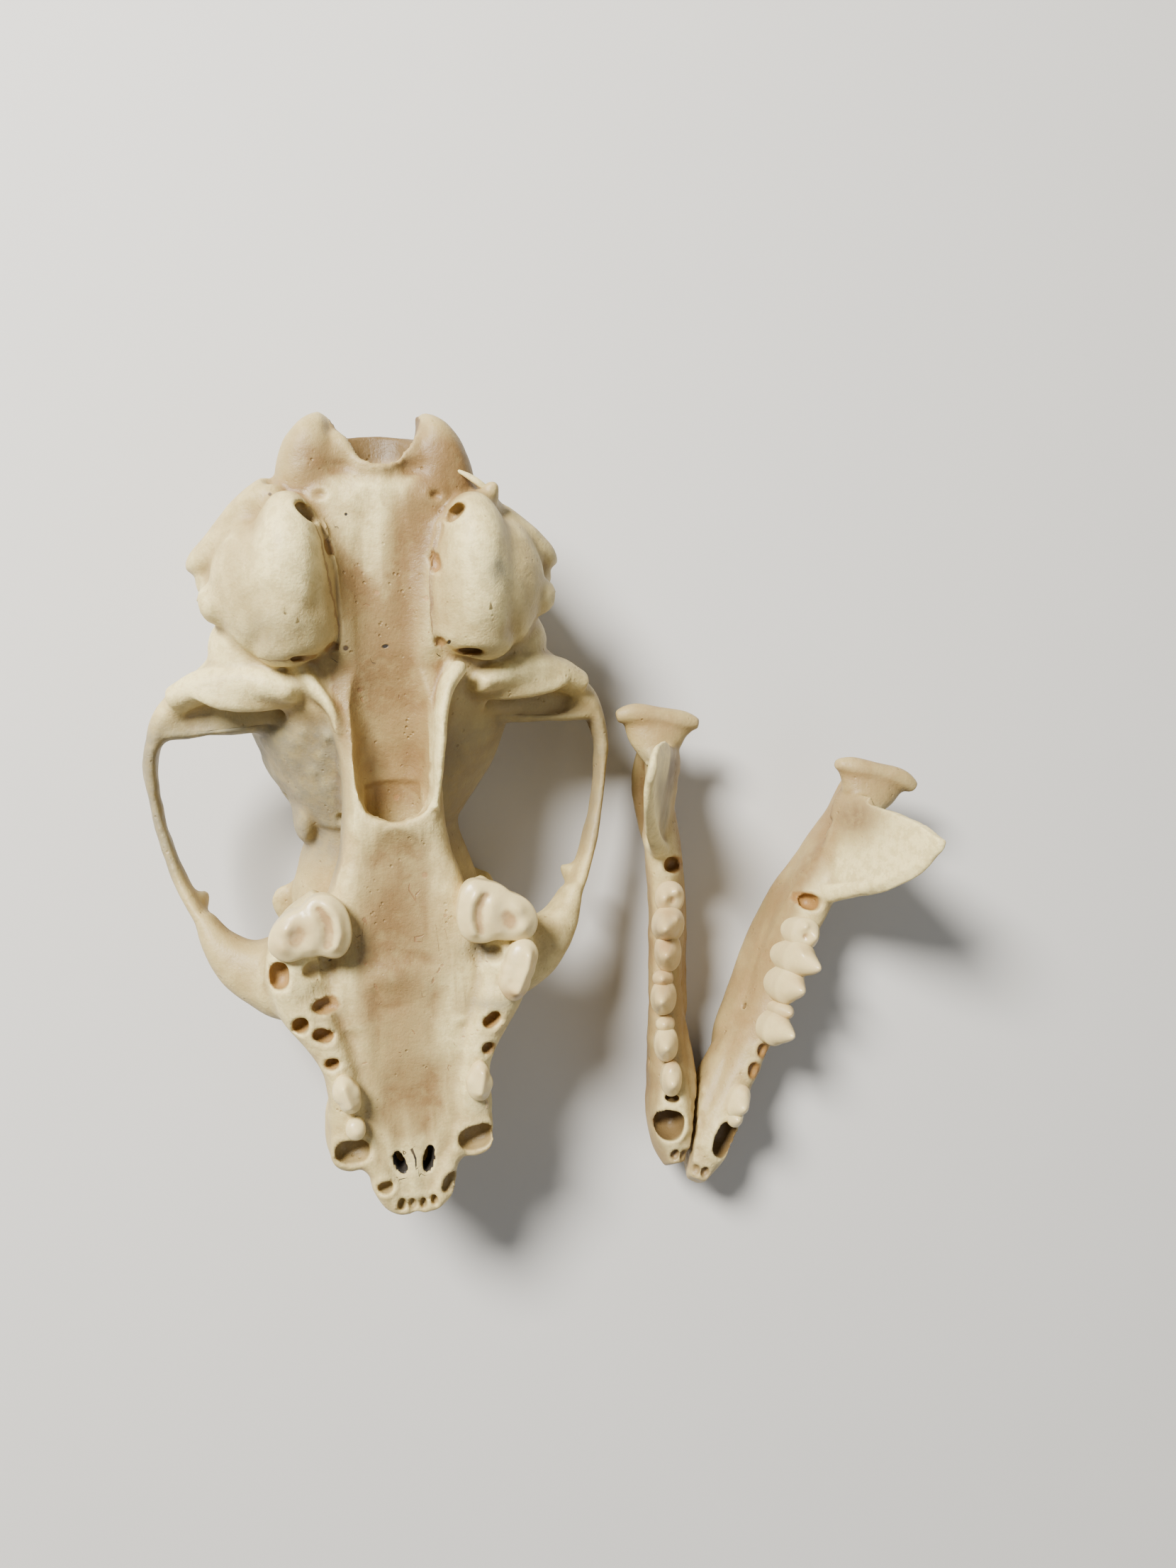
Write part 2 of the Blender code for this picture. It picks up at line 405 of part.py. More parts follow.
def jaw_bone():
    """One half of the lower jaw, the one on the +x side: x is outwards from the middle plane."""
    body = tube("jaw_body", [
        (1.2, 0.9, 6.9, 1.0, 1.6), (1.8, 2.8, 6.2, 1.9, 2.9), (2.4, 6.0, 5.5, 2.5, 3.9), (3.5, 10.0, 4.8, 2.2, 3.9),
        (5.1, 14.6, 4.4, 2.05, 3.9), (6.3, 19.0, 4.4, 1.95, 4.0), (7.3, 24.0, 4.5, 1.95, 4.3),
        (8.2, 29.0, 4.8, 2.05, 4.6), (9.4, 33.6, 5.2, 2.1, 4.5), (10.6, 37.6, 5.8, 1.9, 4.2),
        (11.8, 41.6, 6.4, 1.6, 3.6), (12.5, 45.0, 7.2, 1.3, 2.8), (12.8, 47.2, 8.4, 0.9, 1.6),
    ], power=2.5, around=18, along=34)
    lower_edge = tube("lower_edge", [
        (4.2, 13.0, 3.1, 1.5, 2.3), (5.2, 18.0, 2.9, 1.7, 2.5), (6.3, 23.0, 2.8, 1.8, 2.6), (7.3, 28.0, 2.9, 1.85, 2.6),
        (8.7, 33.0, 3.3, 1.8, 2.5), (10.7, 38.0, 4.0, 1.5, 2.3)], power=2.2, along=20)
    chin = tube("chin", [
        (0.9, 2.6, 6.2, 1.4, 2.6), (1.4, 7.0, 5.2, 1.9, 3.0), (2.1, 11.0, 4.4, 1.6, 2.8), (3.6, 14.6, 4.2, 1.3, 2.2),
        (4.9, 17.5, 4.3, 0.9, 1.6),
    ], power=2.4, around=14, along=14)
    blade = tube("coronoid", [
        (10.4, 39.6, 8.0, 6.2, 1.2), (10.8, 39.9, 11.5, 5.7, 1.0), (11.2, 40.4, 15.0, 5.2, 0.85),
        (11.5, 41.0, 18.0, 4.6, 0.75), (11.8, 41.5, 20.5, 3.8, 0.65), (12.0, 41.9, 22.6, 2.6, 0.6),
        (12.0, 41.9, 24.4, 1.0, 0.45),
    ], side=(0, 1, 0), power=2.5, around=18, along=18)
    edge = tube("coronoid_edge", [
        (9.8, 34.2, 8.6, 1.2, 1.2), (10.1, 34.8, 11.4, 0.9, 0.9), (10.7, 35.8, 14.6, 0.75, 0.75),
        (11.3, 37.3, 18.2, 0.65, 0.65), (11.8, 39.6, 22.2, 0.5, 0.5)], around=10, along=12)
    condyle = tube("jaw_condyle", [
        (17.4, 47.4, 10.0, 0.7, 0.7), (16.2, 47.9, 9.9, 1.1, 1.2), (12.8, 48.3, 9.6, 1.15, 1.35),
        (9.4, 48.5, 9.5, 1.05, 1.25), (8.1, 48.5, 9.6, 0.6, 0.7)], side=(0, 1, 0), around=14, along=14)
    neck = tube("jaw_neck", [
        (12.1, 43.6, 8.4, 1.6, 2.8), (12.5, 45.3, 8.8, 2.7, 2.2), (12.8, 47.0, 9.2, 3.7, 1.6),
        (12.8, 48.0, 9.4, 4.2, 1.2)], around=16, along=10)
    angle = tube("jaw_angle", [
        (11.8, 41.0, 3.6, 1.0, 1.3), (12.6, 44.4, 4.0, 1.0, 1.1), (12.9, 47.0, 4.6, 0.9, 0.8),
        (12.9, 48.2, 5.2, 0.5, 0.5)], around=12, along=10)
    ridge = tube("muscle_ridge", [
        (9.8, 33.5, 2.6, 1.3, 1.3), (12.0, 37.5, 2.9, 1.4, 1.1), (13.3, 41.5, 3.6, 1.3, 1.0),
        (13.6, 45.0, 4.8, 0.9, 0.9)], around=12, along=12)
    return [body, lower_edge, chin, blade, edge, condyle, neck, angle, ridge]


def leaned(obj):
    """Leans the jaw outwards about its tooth line, by nothing at the chin and fully behind the premolars."""
    points = np.empty(len(obj.data.vertices) * 3, np.float32)
    obj.data.vertices.foreach_get("co", points)
    points = points.reshape(-1, 3)
    share = np.clip((points[:, 1] - 6.0) / 13.0, 0.0, 1.0)
    share = share * share * (3 - 2 * share)
    points[:, 0] += (points[:, 2] - 9.5) * math.tan(math.radians(JAW_LEAN)) * share
    points[:, 1] *= JAW_LENGTH / JAW_DRAWN
    obj.data.vertices.foreach_set("co", points.ravel())
    obj.data.update()
    return obj


def prism(name, corners, grow):
    """An upright block over a convex outline given clockwise or anticlockwise, with its sides moved out by grow."""
    corners = np.array(corners, float)
    following = np.roll(corners, -1, axis=0)
    edge = following - corners
    normal = np.stack([edge[:, 1], -edge[:, 0]], 1) / np.linalg.norm(edge, axis=1)[:, None]
    if ((following + corners) / 2 - corners.mean(0)).ravel() @ normal.ravel() < 0:
        normal = -normal
    moved = []
    for k in range(len(corners)):
        rows = np.array([normal[k - 1], normal[k]])
        moved.append(np.linalg.solve(rows, [normal[k - 1] @ corners[k] + grow, normal[k] @ corners[k] + grow]))
    moved = np.array(moved)
    rings = np.stack([np.concatenate([moved, np.full((len(moved), 1), z)], 1) for z in (-40.0, 20.0)])
    return skin(name, rings)


def oval(x, y, half_x, half_y, turn=0.0):
    """Eight points round an ellipse, turned by degrees."""
    a = np.arange(8) * math.pi / 4
    t = math.radians(turn)
    u, v = half_x * np.cos(a), half_y * np.sin(a)
    return np.stack([x + u * math.cos(t) - v * math.sin(t), y + u * math.sin(t) + v * math.cos(t)], 1)


def closed(points, count):
    """A smooth closed curve through the points, read at evenly spaced places."""
    points = np.array(points, float)
    t = np.linspace(0, 1, 12, endpoint=False)[:, None]
    before, after, beyond = np.roll(points, 1, 0), np.roll(points, -1, 0), np.roll(points, -2, 0)
    dense = np.concatenate([
        0.5 * (2 * p + (n - b) * t + (2 * b - 5 * p + 4 * n - f) * t ** 2 + (3 * p - b - 3 * n + f) * t ** 3)
        for b, p, n, f in zip(before, points, after, beyond)])
    ring = np.concatenate([dense, dense[:1]])
    at = np.concatenate([[0.0], np.cumsum(np.linalg.norm(np.diff(ring, axis=0), axis=1))])
    want = np.linspace(0.0, at[-1], count, endpoint=False)
    return np.stack([np.interp(want, at, ring[:, k]) for k in (0, 1)], 1)


def tooth(name, outline, cusps, floor, root=2.0, belt=0.6, around=10):
    """A tooth over its outline: a root below the gum line, a swollen belt and a crown that rises to its cusps,
    each given as x, y, height above the belt and reach."""
    ring = closed(outline, around)
    middle = ring.mean(0)
    rings = []
    for share, low in ((0.7, -root), (0.9, 0.0), (1.0, 0.6 * belt), (0.9, belt), (0.62, None), (0.34, None),
                       (0.08, None)):
        flat = middle + (ring - middle) * share
        if low is None:
            rise = np.zeros(around)
            for x, y, height, reach in cusps:
                far = np.hypot(flat[:, 0] - x, flat[:, 1] - y) / reach
                rise = np.maximum(rise, height * np.maximum(1 - far ** 1.4, 0))
            z = floor + belt + rise
        else:
            z = np.full(around, floor + low)
        rings.append(np.column_stack([flat, z]))
    return skin(name, np.array(rings))


# Teeth of the cranium as x, y outlines with their cusps; the photo's left is -x
UPPER_TEETH = [
    ("p1_right", oval(-6.1, 10.8, 0.8, 0.8), [(-6.1, 10.8, 0.8, 1.1)]),
    ("p2_right", oval(-6.6, 14.7, 1.25, 1.75, -8), [(-6.7, 14.4, 1.9, 2.0)]),
    ("p2_left", oval(6.6, 14.7, 1.25, 1.75, 8), [(6.7, 14.4, 1.9, 2.0)]),
    ("p4_left", oval(11.1, 24.9, 1.3, 3.3, -24), [(10.6, 23.9, 2.9, 2.3), (12.0, 26.9, 2.0, 1.8)]),
    ("p1_root_left", oval(6.1, 10.8, 0.8, 0.75), []),
]
MOLAR = [(13.0, 29.6), (12.7, 31.1), (11.5, 32.2), (9.7, 33.1), (8.2, 34.2), (6.8, 34.3), (5.7, 33.1), (5.2, 31.2),
         (5.4, 29.5), (6.3, 28.4), (7.4, 28.6), (8.5, 29.0), (9.7, 28.4), (11.3, 28.0), (12.4, 28.4)]
MOLAR_CUSPS = [(11.6, 29.3, 1.4, 1.6), (11.4, 31.1, 1.1, 1.5), (8.5, 30.6, 1.0, 1.5), (6.2, 31.2, 0.8, 2.2),
               (7.2, 33.3, 0.7, 1.2)]
UPPER_SOCKETS = [
    (-0.4, 1.3, 0.42, 0.6, 2.4), (0.75, 1.3, 0.42, 0.6, 2.4), (-1.6, 1.6, 0.42, 0.6, 2.4), (1.9, 1.6, 0.42, 0.6, 2.4),
    (-3.2, 3.7, 0.8, 0.75, 3.4), (3.35, 3.3, 0.8, 0.95, 3.4), (-6.1, 8.4, 1.7, 1.4, 5.6), (6.4, 8.0, 1.8, 1.5, 5.6),
    (-7.7, 17.2, 0.7, 0.65, 2.6), (-8.4, 20.1, 0.95, 0.75, 2.8), (7.7, 17.2, 0.65, 0.65, 2.6), (8.3, 20.1, 1.05, 0.8, 2.8),
    (-10.6, 21.8, 0.75, 0.9, 3.0), (-8.1, 23.2, 1.25, 0.75, 3.0), (-11.9, 26.6, 1.15, 1.65, 3.4),
    (-1.4, 6.0, 0.5, 1.0, 4.0), (1.4, 6.1, 0.5, 1.1, 4.0), (-6.9, 70.3, 0.9, 0.8, 5.0), (6.9, 70.3, 0.9, 0.8, 5.0),
]
# Teeth of one lower half in the frame of jaw_bone
LOWER_TEETH = {
    "p1": (oval(3.9, 9.0, 0.75, 0.95), [(3.9, 8.8, 0.7, 1.2)], 8.6),
    "p2": (oval(4.5, 11.2, 1.1, 1.95, -8), [(4.5, 10.9, 1.8, 2.1)], 8.5),
    "p3": (oval(5.3, 15.3, 1.2, 2.15, -8), [(5.3, 15.0, 2.4, 2.3)], 8.2),
    "p4": (oval(6.3, 20.0, 1.4, 2.4, -9), [(6.3, 19.6, 3.3, 2.4), (6.6, 21.4, 1.6, 1.3)], 8.3),
    "m1": (oval(7.4, 27.1, 1.75, 4.75, -8), [(6.9, 23.9, 3.0, 2.2), (7.3, 26.2, 4.2, 2.4), (7.9, 29.8, 1.3, 2.4)], 8.8),
}
LOWER_SOCKETS = {
    "c": (3.0, 5.2, 1.4, 1.5, 5.6), "i1": (0.85, 1.5, 0.4, 0.45, 2.4), "i2": (1.7, 2.1, 0.45, 0.5, 2.4),
    "m2": (8.35, 33.7, 1.0, 1.05, 3.0), "p1": (3.9, 8.8, 0.6, 0.6, 2.4),
    "p3a": (5.8, 14.2, 0.8, 0.85, 2.6), "p3b": (6.3, 16.5, 0.8, 0.85, 2.6),
}


def pit(name, x, y, half_x, half_y, depth, floor=0.0, rise=2.5, around=8):
    """A tapering hole from above the bone down to its depth."""
    rings = []
    for share, z in ((1.0, rise), (1.0, -0.3), (0.8, -0.65 * depth), (0.4, -depth)):
        a = np.arange(around) * 2 * math.pi / around
        back = max(0.0, -z) * 0.3
        rings.append(np.stack([x + share * half_x * np.cos(a), y + back + share * half_y * np.sin(a),
                               np.full(around, floor + z)], 1))
    return skin(name, np.array(rings))


def largest(obj):
    """The object's largest closed surface, the rest removed."""
    first, *rest = islands(obj)
    for other in rest:
        bpy.data.objects.remove(other)
    return first


def twin(obj):
    """A copy of the object with a mesh of its own."""
    other = obj.copy()
    other.data = obj.data.copy()
    bpy.context.scene.collection.objects.link(other)
    return other


def make_cranium():
    """The whole cranium as one skin, with its teeth on and its sockets open."""
    pieces = nose_and_palate() + brain_box() + cheek_arches() + bullae()
    skull = boolean(pieces[0], pieces[1:], "UNION")
    softened(skull, VOXEL, 2)
    pits = [pit(f"socket_{k}", *row) for k, row in enumerate(UPPER_SOCKETS)]
    ears = pair("ear_hole", [(19.5, 61.6, -6.4, 1.4, 1.5), (16.5, 62.0, -6.1, 1.3, 1.4), (13.5, 62.6, -5.8, 0.9, 1.0)],
                side=(0, 1, 0), around=10, along=4)
    boolean(skull, hollows() + pits + ears, "DIFFERENCE")
    softened(skull, VOXEL, 3, CRANIUM_FACES)
    skull = largest(skull)
    teeth = [tooth(name, outline, cusps, -0.4) for name, outline, cusps in UPPER_TEETH]
    mirrored = [(-x, y) for x, y in MOLAR][::-1]
    teeth.append(tooth("m1_left", MOLAR, MOLAR_CUSPS, -0.5, around=16))
    teeth.append(tooth("m1_right", mirrored, [(-c[0], *c[1:]) for c in MOLAR_CUSPS], -0.5, around=16))
    boolean(skull, teeth, "UNION")
    return largest(skull)


def make_jaw(side, teeth, sockets):
    """One half of the lower jaw on its own side, with the teeth and the open sockets named."""
    pieces = jaw_bone()
    bone = boolean(pieces[0], pieces[1:], "UNION")
    boolean(bone, [pit(name, *LOWER_SOCKETS[name], floor=9.2) for name in sockets], "DIFFERENCE")
    softened(bone, 0.34, 3, JAW_FACES)
    bone = largest(bone)
    boolean(bone, [tooth(name, *LOWER_TEETH[name], around=14 if name == "m1" else 10) for name in teeth], "UNION")
    boolean(bone, [prism("middle", [(-8, -5), (GAP / 2, -5), (GAP / 2, 40), (-8, 40)], 0.0)], "DIFFERENCE")
    bone = leaned(largest(bone))
    if side < 0:
        bone.data.transform(Matrix.Scale(-1, 4, (1, 0, 0)))
        bone.data.flip_normals()
    return bone


def cut_out(whole, small, large):
    """Takes the piece inside a cutter out of the whole, leaving a thin gap, and returns the piece."""
    piece = twin(whole)
    boolean(piece, [small], "INTERSECT")
    boolean(whole, [large], "DIFFERENCE")
    return largest(piece)


ARCH_ZONE = [(13.6, 31.5), (17.6, 24.0), (30.0, 21.0), (30.0, 49.9), (19.0, 47.9), (15.8, 40.0)]


def make_nodes():
    """The cranium divided into its named parts, and the two halves of the jaw."""
    skull = make_cranium()
    nodes = {}
    for sign, side in ((-1, "right"), (1, "left")):
        corners = [(sign * x, y) for x, y in ARCH_ZONE]
        nodes[f"zygomatic_arch_{side}"] = cut_out(
            skull, prism("small", corners, -GAP / 2), prism("large", corners, GAP / 2))
        dome = [((sign * 8.7, 63.9, -0.8), (4.4 + grow, 7.9 + grow, 5.2 + grow), (0, 0, -4 * sign))
                for grow in (-GAP / 2, GAP / 2)]
        nodes[f"auditory_bulla_{side}"] = cut_out(skull, egg("small", *dome[0]), egg("large", *dome[1]))
    halves = [(-40, 39), (40, 39), (40, 90), (-40, 90)]
    nodes["braincase"] = cut_out(skull, prism("small", halves, -GAP / 2), prism("large", halves, GAP / 2))
    nodes["facial_skeleton"] = largest(skull)
    nodes["dentary_right"] = make_jaw(-1, ["p2", "p3", "p4", "m1"], ["c", "i1", "i2", "p1", "m2"])
    nodes["dentary_left"] = make_jaw(1, ["p1", "p2", "p4", "m1"], ["c", "i1", "i2", "p3a", "p3b", "m2"])
    return nodes


def holder(name, turn, at, pieces):
    """An empty that carries one loose bone: turned, placed on the floor plan and set down on its lowest point."""
    empty = bpy.data.objects.new(name, None)
    empty.rotation_mode = "YXZ"
    empty.rotation_euler = [math.radians(a) for a in turn]
    turning = empty.rotation_euler.to_matrix()
    low = min((turning @ v.co).z for piece in pieces for v in piece.data.vertices)
    empty.location = (at[0] * MM, at[1] * MM, -low)
    for piece in pieces:
        piece.parent = empty
    return empty


def bone_material(name):
    """The dry bone of one part."""
    colour, rough = FINISHES[name]
    material = bpy.data.materials.new(f"{name}_bone")
    material.use_nodes = True
    surface = material.node_tree.nodes["Principled BSDF"]
    surface.inputs["Base Color"].default_value = colour
    surface.inputs["Roughness"].default_value = rough
    surface.inputs["Metallic"].default_value = 0.0
    return material


def main():
    for obj in list(bpy.data.objects):
        bpy.data.objects.remove(obj)
    nodes = make_nodes()
    group = bpy.data.collections.new("beech_marten_skull")
    bpy.context.scene.collection.children.link(group)
    for name, obj in sorted(nodes.items()):
        obj.name = obj.data.name = name
        obj.data.transform(Matrix.Scale(MM, 4))
        obj.data.materials.clear()
        obj.data.materials.append(bone_material(name))
        for owner in list(obj.users_collection):
            owner.objects.unlink(obj)
        group.objects.link(obj)
    jaws = ("dentary_right", "dentary_left")
    bones = [
        holder("cranium", CRANIUM_TURN, CRANIUM_AT, [nodes[n] for n in sorted(nodes) if n not in jaws]),
        holder("right_jaw", RIGHT_JAW_TURN, RIGHT_JAW_AT, [nodes["dentary_right"]]),
        holder("left_jaw", LEFT_JAW_TURN, LEFT_JAW_AT, [nodes["dentary_left"]]),
    ]
    for bone in bones:
        group.objects.link(bone)
    bpy.context.view_layer.update()
    points = np.array([obj.matrix_world @ v.co for obj in nodes.values() for v in obj.data.vertices])
    middle = (points.min(0) + points.max(0)) / 2
    for bone in bones:
        bone.location.x -= middle[0]
        bone.location.y -= middle[1]


if __name__ == "__main__":
    main()
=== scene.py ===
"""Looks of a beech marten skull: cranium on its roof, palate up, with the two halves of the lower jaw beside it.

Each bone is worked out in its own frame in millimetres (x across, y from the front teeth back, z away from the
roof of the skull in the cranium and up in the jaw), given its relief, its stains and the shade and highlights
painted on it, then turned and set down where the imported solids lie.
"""

import math

import bpy
import numpy as np
from mathutils import Matrix


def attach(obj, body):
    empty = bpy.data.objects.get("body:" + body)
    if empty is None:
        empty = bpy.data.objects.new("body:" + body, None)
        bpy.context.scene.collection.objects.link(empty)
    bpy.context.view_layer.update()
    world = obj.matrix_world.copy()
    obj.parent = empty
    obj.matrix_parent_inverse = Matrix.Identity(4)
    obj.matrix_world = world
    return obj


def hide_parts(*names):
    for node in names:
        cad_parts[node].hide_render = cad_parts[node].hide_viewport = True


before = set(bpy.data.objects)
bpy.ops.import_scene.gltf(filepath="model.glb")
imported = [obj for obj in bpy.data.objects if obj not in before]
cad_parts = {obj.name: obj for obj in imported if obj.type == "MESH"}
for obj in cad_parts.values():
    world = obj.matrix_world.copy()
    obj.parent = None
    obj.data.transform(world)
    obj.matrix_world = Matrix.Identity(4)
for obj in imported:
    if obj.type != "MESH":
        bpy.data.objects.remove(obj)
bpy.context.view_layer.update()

bl_info = {
    "name": "Beech marten skull",
    "version": (1, 0, 0),
    "blender": (4, 5, 0),
    "location": "View3D > Sidebar > Skull",
    "description": "Builds a life-size beech marten cranium and lower jaw as dry bone",
    "category": "Add Mesh",
}

MM = 0.001
UP, BACK = (0, 0, 1), (0, 1, 0)
FINER = 2  # how often the counts of rings and of their points are taken
OFF_AXIS = 0.01  # turn in radians that keeps a ring's points off the axes
LEAST_POINTS = 20000  # a cranium with fewer has gone wrong
# Rounds of smoothing: at the jaw joints, and of the ground that broad hollows are measured from
JOINT_ROUNDS, WIDE_ROUNDS = 40, 140
CRANIUM_NODES = ("braincase", "facial_skeleton", "zygomatic_arch_left", "zygomatic_arch_right",
                 "auditory_bulla_left", "auditory_bulla_right")

# Driving sizes, in millimetres unless said otherwise
ARCH_HALF_SPAN = 23.3
CASE_HALF_WIDTH = 16.6
CASE_ROOF = -25.5
PALATE_END = 41.0
JAW_LENGTH = 50.9
JAW_DRAWN = 49.5  # length at which the rows of the jaw are drawn
MEETING_FACE = 0.15  # how far from the middle plane the halves end
RIM_HEIGHT = 0.14
JAW_RIM_HEIGHT = 0.12

# How each bone lies: turn in degrees (pitch, roll, yaw) and place in millimetres
PLACES = {
    "cranium": ((7.1, 6.0, 2.7), (-14.412, -39.676, 18.092)),
    "right": ((0.0, 1.0, -10.6), (15.088, -39.476, -0.309)),
    "left": ((0.0, 1.2, -10.4), (15.038, -40.876, -0.085)),
}
JAW_LEAN = 13.0  # degrees outwards
TOOTH_LINE = 9.5  # height about which the jaw leans

# The bone's colours by their names in BoneColours, and fixed ones: pinholes, whose black and brown are painted
# shade in holes, hair lines, abraded crowns with painted shade in their creases, fine mottling
BONE_COLOURS = ("cream", "peach", "chalk", "stain", "grey", "deep", "olive")
PIN_BLACK = (0.03, 0.025, 0.02, 1.0)
PIN_BROWN = (0.40, 0.20, 0.08, 1.0)
LINE_BROWN = (0.22, 0.13, 0.06, 1.0)
WORN_AND_SHADE_BROWN = (0.42, 0.27, 0.12, 1.0)
MOTTLE_DARK = (0.90, 0.89, 0.865, 1.0)
MOTTLE_LIGHT = (1.06, 1.06, 1.06, 1.0)
# Patterns of the bone, in waves per metre
BROAD, ZONES, MOTTLE, PORES, GRAIN = 190.0, 420.0, 900.0, 1500.0, 3600.0
STREAKS = (2600.0, 260.0, 1500.0)
# Depth of the fine bumps, in metres
CRANIUM_BUMPS, JAW_BUMPS, ENAMEL_BUMPS = 0.00016, 0.00014, 0.00012
# Light inside the surface: its share, its reach in red, green and blue, and the scale of that in metres
BONE_GLOW, ENAMEL_GLOW = (0.12, (1.0, 0.6, 0.35), 0.0012), (0.15, (1.0, 0.7, 0.45), 0.001)

# Room light, and lamps: name, place, diameter, power, colour
ROOM_COLOUR, ROOM_LIGHT = (1.0, 0.98, 0.95, 1.0), 0.16
LIGHTS = [
    ("key", (-0.23, 0.22, 0.34), 0.15, 6.7, (1.0, 0.97, 0.91)),
    ("fill", (0.30, -0.22, 0.36), 0.40, 0.55, (0.94, 0.97, 1.0)),
]
# Camera of the photograph: place in metres, lean in degrees, sensor height and focal length in millimetres
CAMERA_SPOT = (-0.01535, 0.00437, 0.14740)
CAMERA_LEAN = -8.0
SENSOR_HEIGHT, FOCAL_LENGTH = 24.0, 19.53


class SkullSizes(bpy.types.PropertyGroup):
    """Sizes of the meshes and of their relief."""

    voxel: bpy.props.FloatProperty(
        name="Skin step", description="Voxel size of the cranium's skin", default=0.00026, unit="LENGTH", precision=5)
    jaw_voxel: bpy.props.FloatProperty(
        name="Jaw step", description="Voxel size of the jaw's skin", default=0.0002, unit="LENGTH", precision=5)
    triangles: bpy.props.IntProperty(
        name="Triangles", description="Most triangles that the cranium's skin keeps", default=192000)
    unevenness: bpy.props.FloatProperty(
        name="Unevenness", description="Height of the bone's soft waves", default=0.00012, unit="LENGTH", precision=5)
    soft: bpy.props.IntProperty(name="Softening", description="Rounds of smoothing of the joined skin", default=10)


class BoneColours(bpy.types.PropertyGroup):
    """Colours of dry bone and enamel."""

    cream: bpy.props.FloatVectorProperty(
        name="Cream", description="Main colour of the bone", subtype="COLOR", size=4, default=(0.46, 0.355, 0.15, 1))
    peach: bpy.props.FloatVectorProperty(
        name="Peach", description="Warmer fresh bone", subtype="COLOR", size=4, default=(0.40, 0.265, 0.11, 1))
    # Chalk also carries painted highlights: on edges, on the -x ear region and on the -x jaw joint.
    chalk: bpy.props.FloatVectorProperty(
        name="Chalk", description="Bleached dense bone", subtype="COLOR", size=4, default=(0.82, 0.70, 0.34, 1))
    # Stain also carries painted shade: in creases and hollows, where the cranium's relief sinks in, inside the spinal
    # cord's opening, ahead of the -x upper molar and along the right half of the jaw.
    stain: bpy.props.FloatVectorProperty(
        name="Stain", description="Grease and earth stains", subtype="COLOR", size=4, default=(0.23, 0.14, 0.052, 1))
    # Thin grey also carries painted shade: under the jaw joints of the cranium and on the blade of the right half of
    # the jaw.
    grey: bpy.props.FloatVectorProperty(
        name="Thin grey", description="Paper-thin bone with a dark hollow behind it", subtype="COLOR", size=4,
        default=(0.15, 0.14, 0.105, 1))
    deep: bpy.props.FloatVectorProperty(
        name="Deep", description="Floors of the cheek teeth's sockets", subtype="COLOR", size=4,
        default=(0.29, 0.155, 0.045, 1))
    # Olive also fills the spinal cord's opening as painted shade.
    olive: bpy.props.FloatVectorProperty(
        name="Olive", description="Floors of the front sockets and of the nerve holes", subtype="COLOR", size=4,
        default=(0.15, 0.095, 0.035, 1))
    enamel: bpy.props.FloatVectorProperty(
        name="Enamel", description="Crowns of the teeth", subtype="COLOR", size=4, default=(0.76, 0.62, 0.31, 1))
    floor: bpy.props.FloatVectorProperty(
        name="Floor", description="Pale floor", subtype="COLOR", size=4, default=(0.62, 0.61, 0.59, 1))


def cubic(rows, count):
    """Rows read evenly from a smooth cubic through the given ones, spaced by the distance between them."""
    rows = np.array(rows, float)
    steps = np.maximum(np.linalg.norm(np.diff(rows[:, :3], axis=0), axis=1), 1e-6)
    at = np.concatenate([[0.0], np.cumsum(steps)])
    slope = np.diff(rows, axis=0) / steps[:, None]
    ends = [slope[:1], (slope[:-1] * steps[1:, None] + slope[1:] * steps[:-1, None])
            / (steps[1:] + steps[:-1])[:, None], slope[-1:]]
    tangent = np.concatenate(ends) if len(rows) > 2 else np.concatenate([slope, slope])
    want = np.linspace(0.0, at[-1], count)
    i = np.clip(np.searchsorted(at, want, side="right") - 1, 0, len(rows) - 2)
    h = steps[i][:, None]
    t = ((want - at[i]) / steps[i])[:, None]
    return ((1 + 2 * t) * (1 - t) ** 2 * rows[i] + t * (1 - t) ** 2 * h * tangent[i]
            + t * t * (3 - 2 * t) * rows[i + 1] + t * t * (t - 1) * h * tangent[i + 1])


def rounded(angles, power):
    """Cosine and sine of the angles, raised so that a power of 2 is an ellipse and more is squarer."""
    c, s = np.cos(angles), np.sin(angles)
    return np.sign(c) * np.abs(c) ** (2 / power), np.sign(s) * np.abs(s) ** (2 / power)


def circle(count, shift=0.0):
    """So many angles, evenly round a full turn from the shift."""
    return np.arange(count) * 2 * math.pi / count + shift


def turned(u, v, degrees):
    """A place, or many, turned by degrees about the origin."""
    c, s = math.cos(math.radians(degrees)), math.sin(math.radians(degrees))
    return u * c - v * s, u * s + v * c


def made(name, points, faces):
    """A new object in the scene, with a mesh of these points and faces."""
    mesh = bpy.data.meshes.new(name)
    mesh.from_pydata(points.tolist(), [], faces)
    obj = bpy.data.objects.new(name, mesh)
    bpy.context.scene.collection.objects.link(obj)
    return obj


def ring_quads(along, around):
    """The quads between neighbouring rings of points, for so many rings of so many points, numbered in turn."""
    i, j = np.meshgrid(np.arange(along - 1), np.arange(around), indexing="ij")
    k = (j + 1) % around
    return np.stack([i * around + j, i * around + k, (i + 1) * around + k, (i + 1) * around + j], -1).reshape(-1, 4)


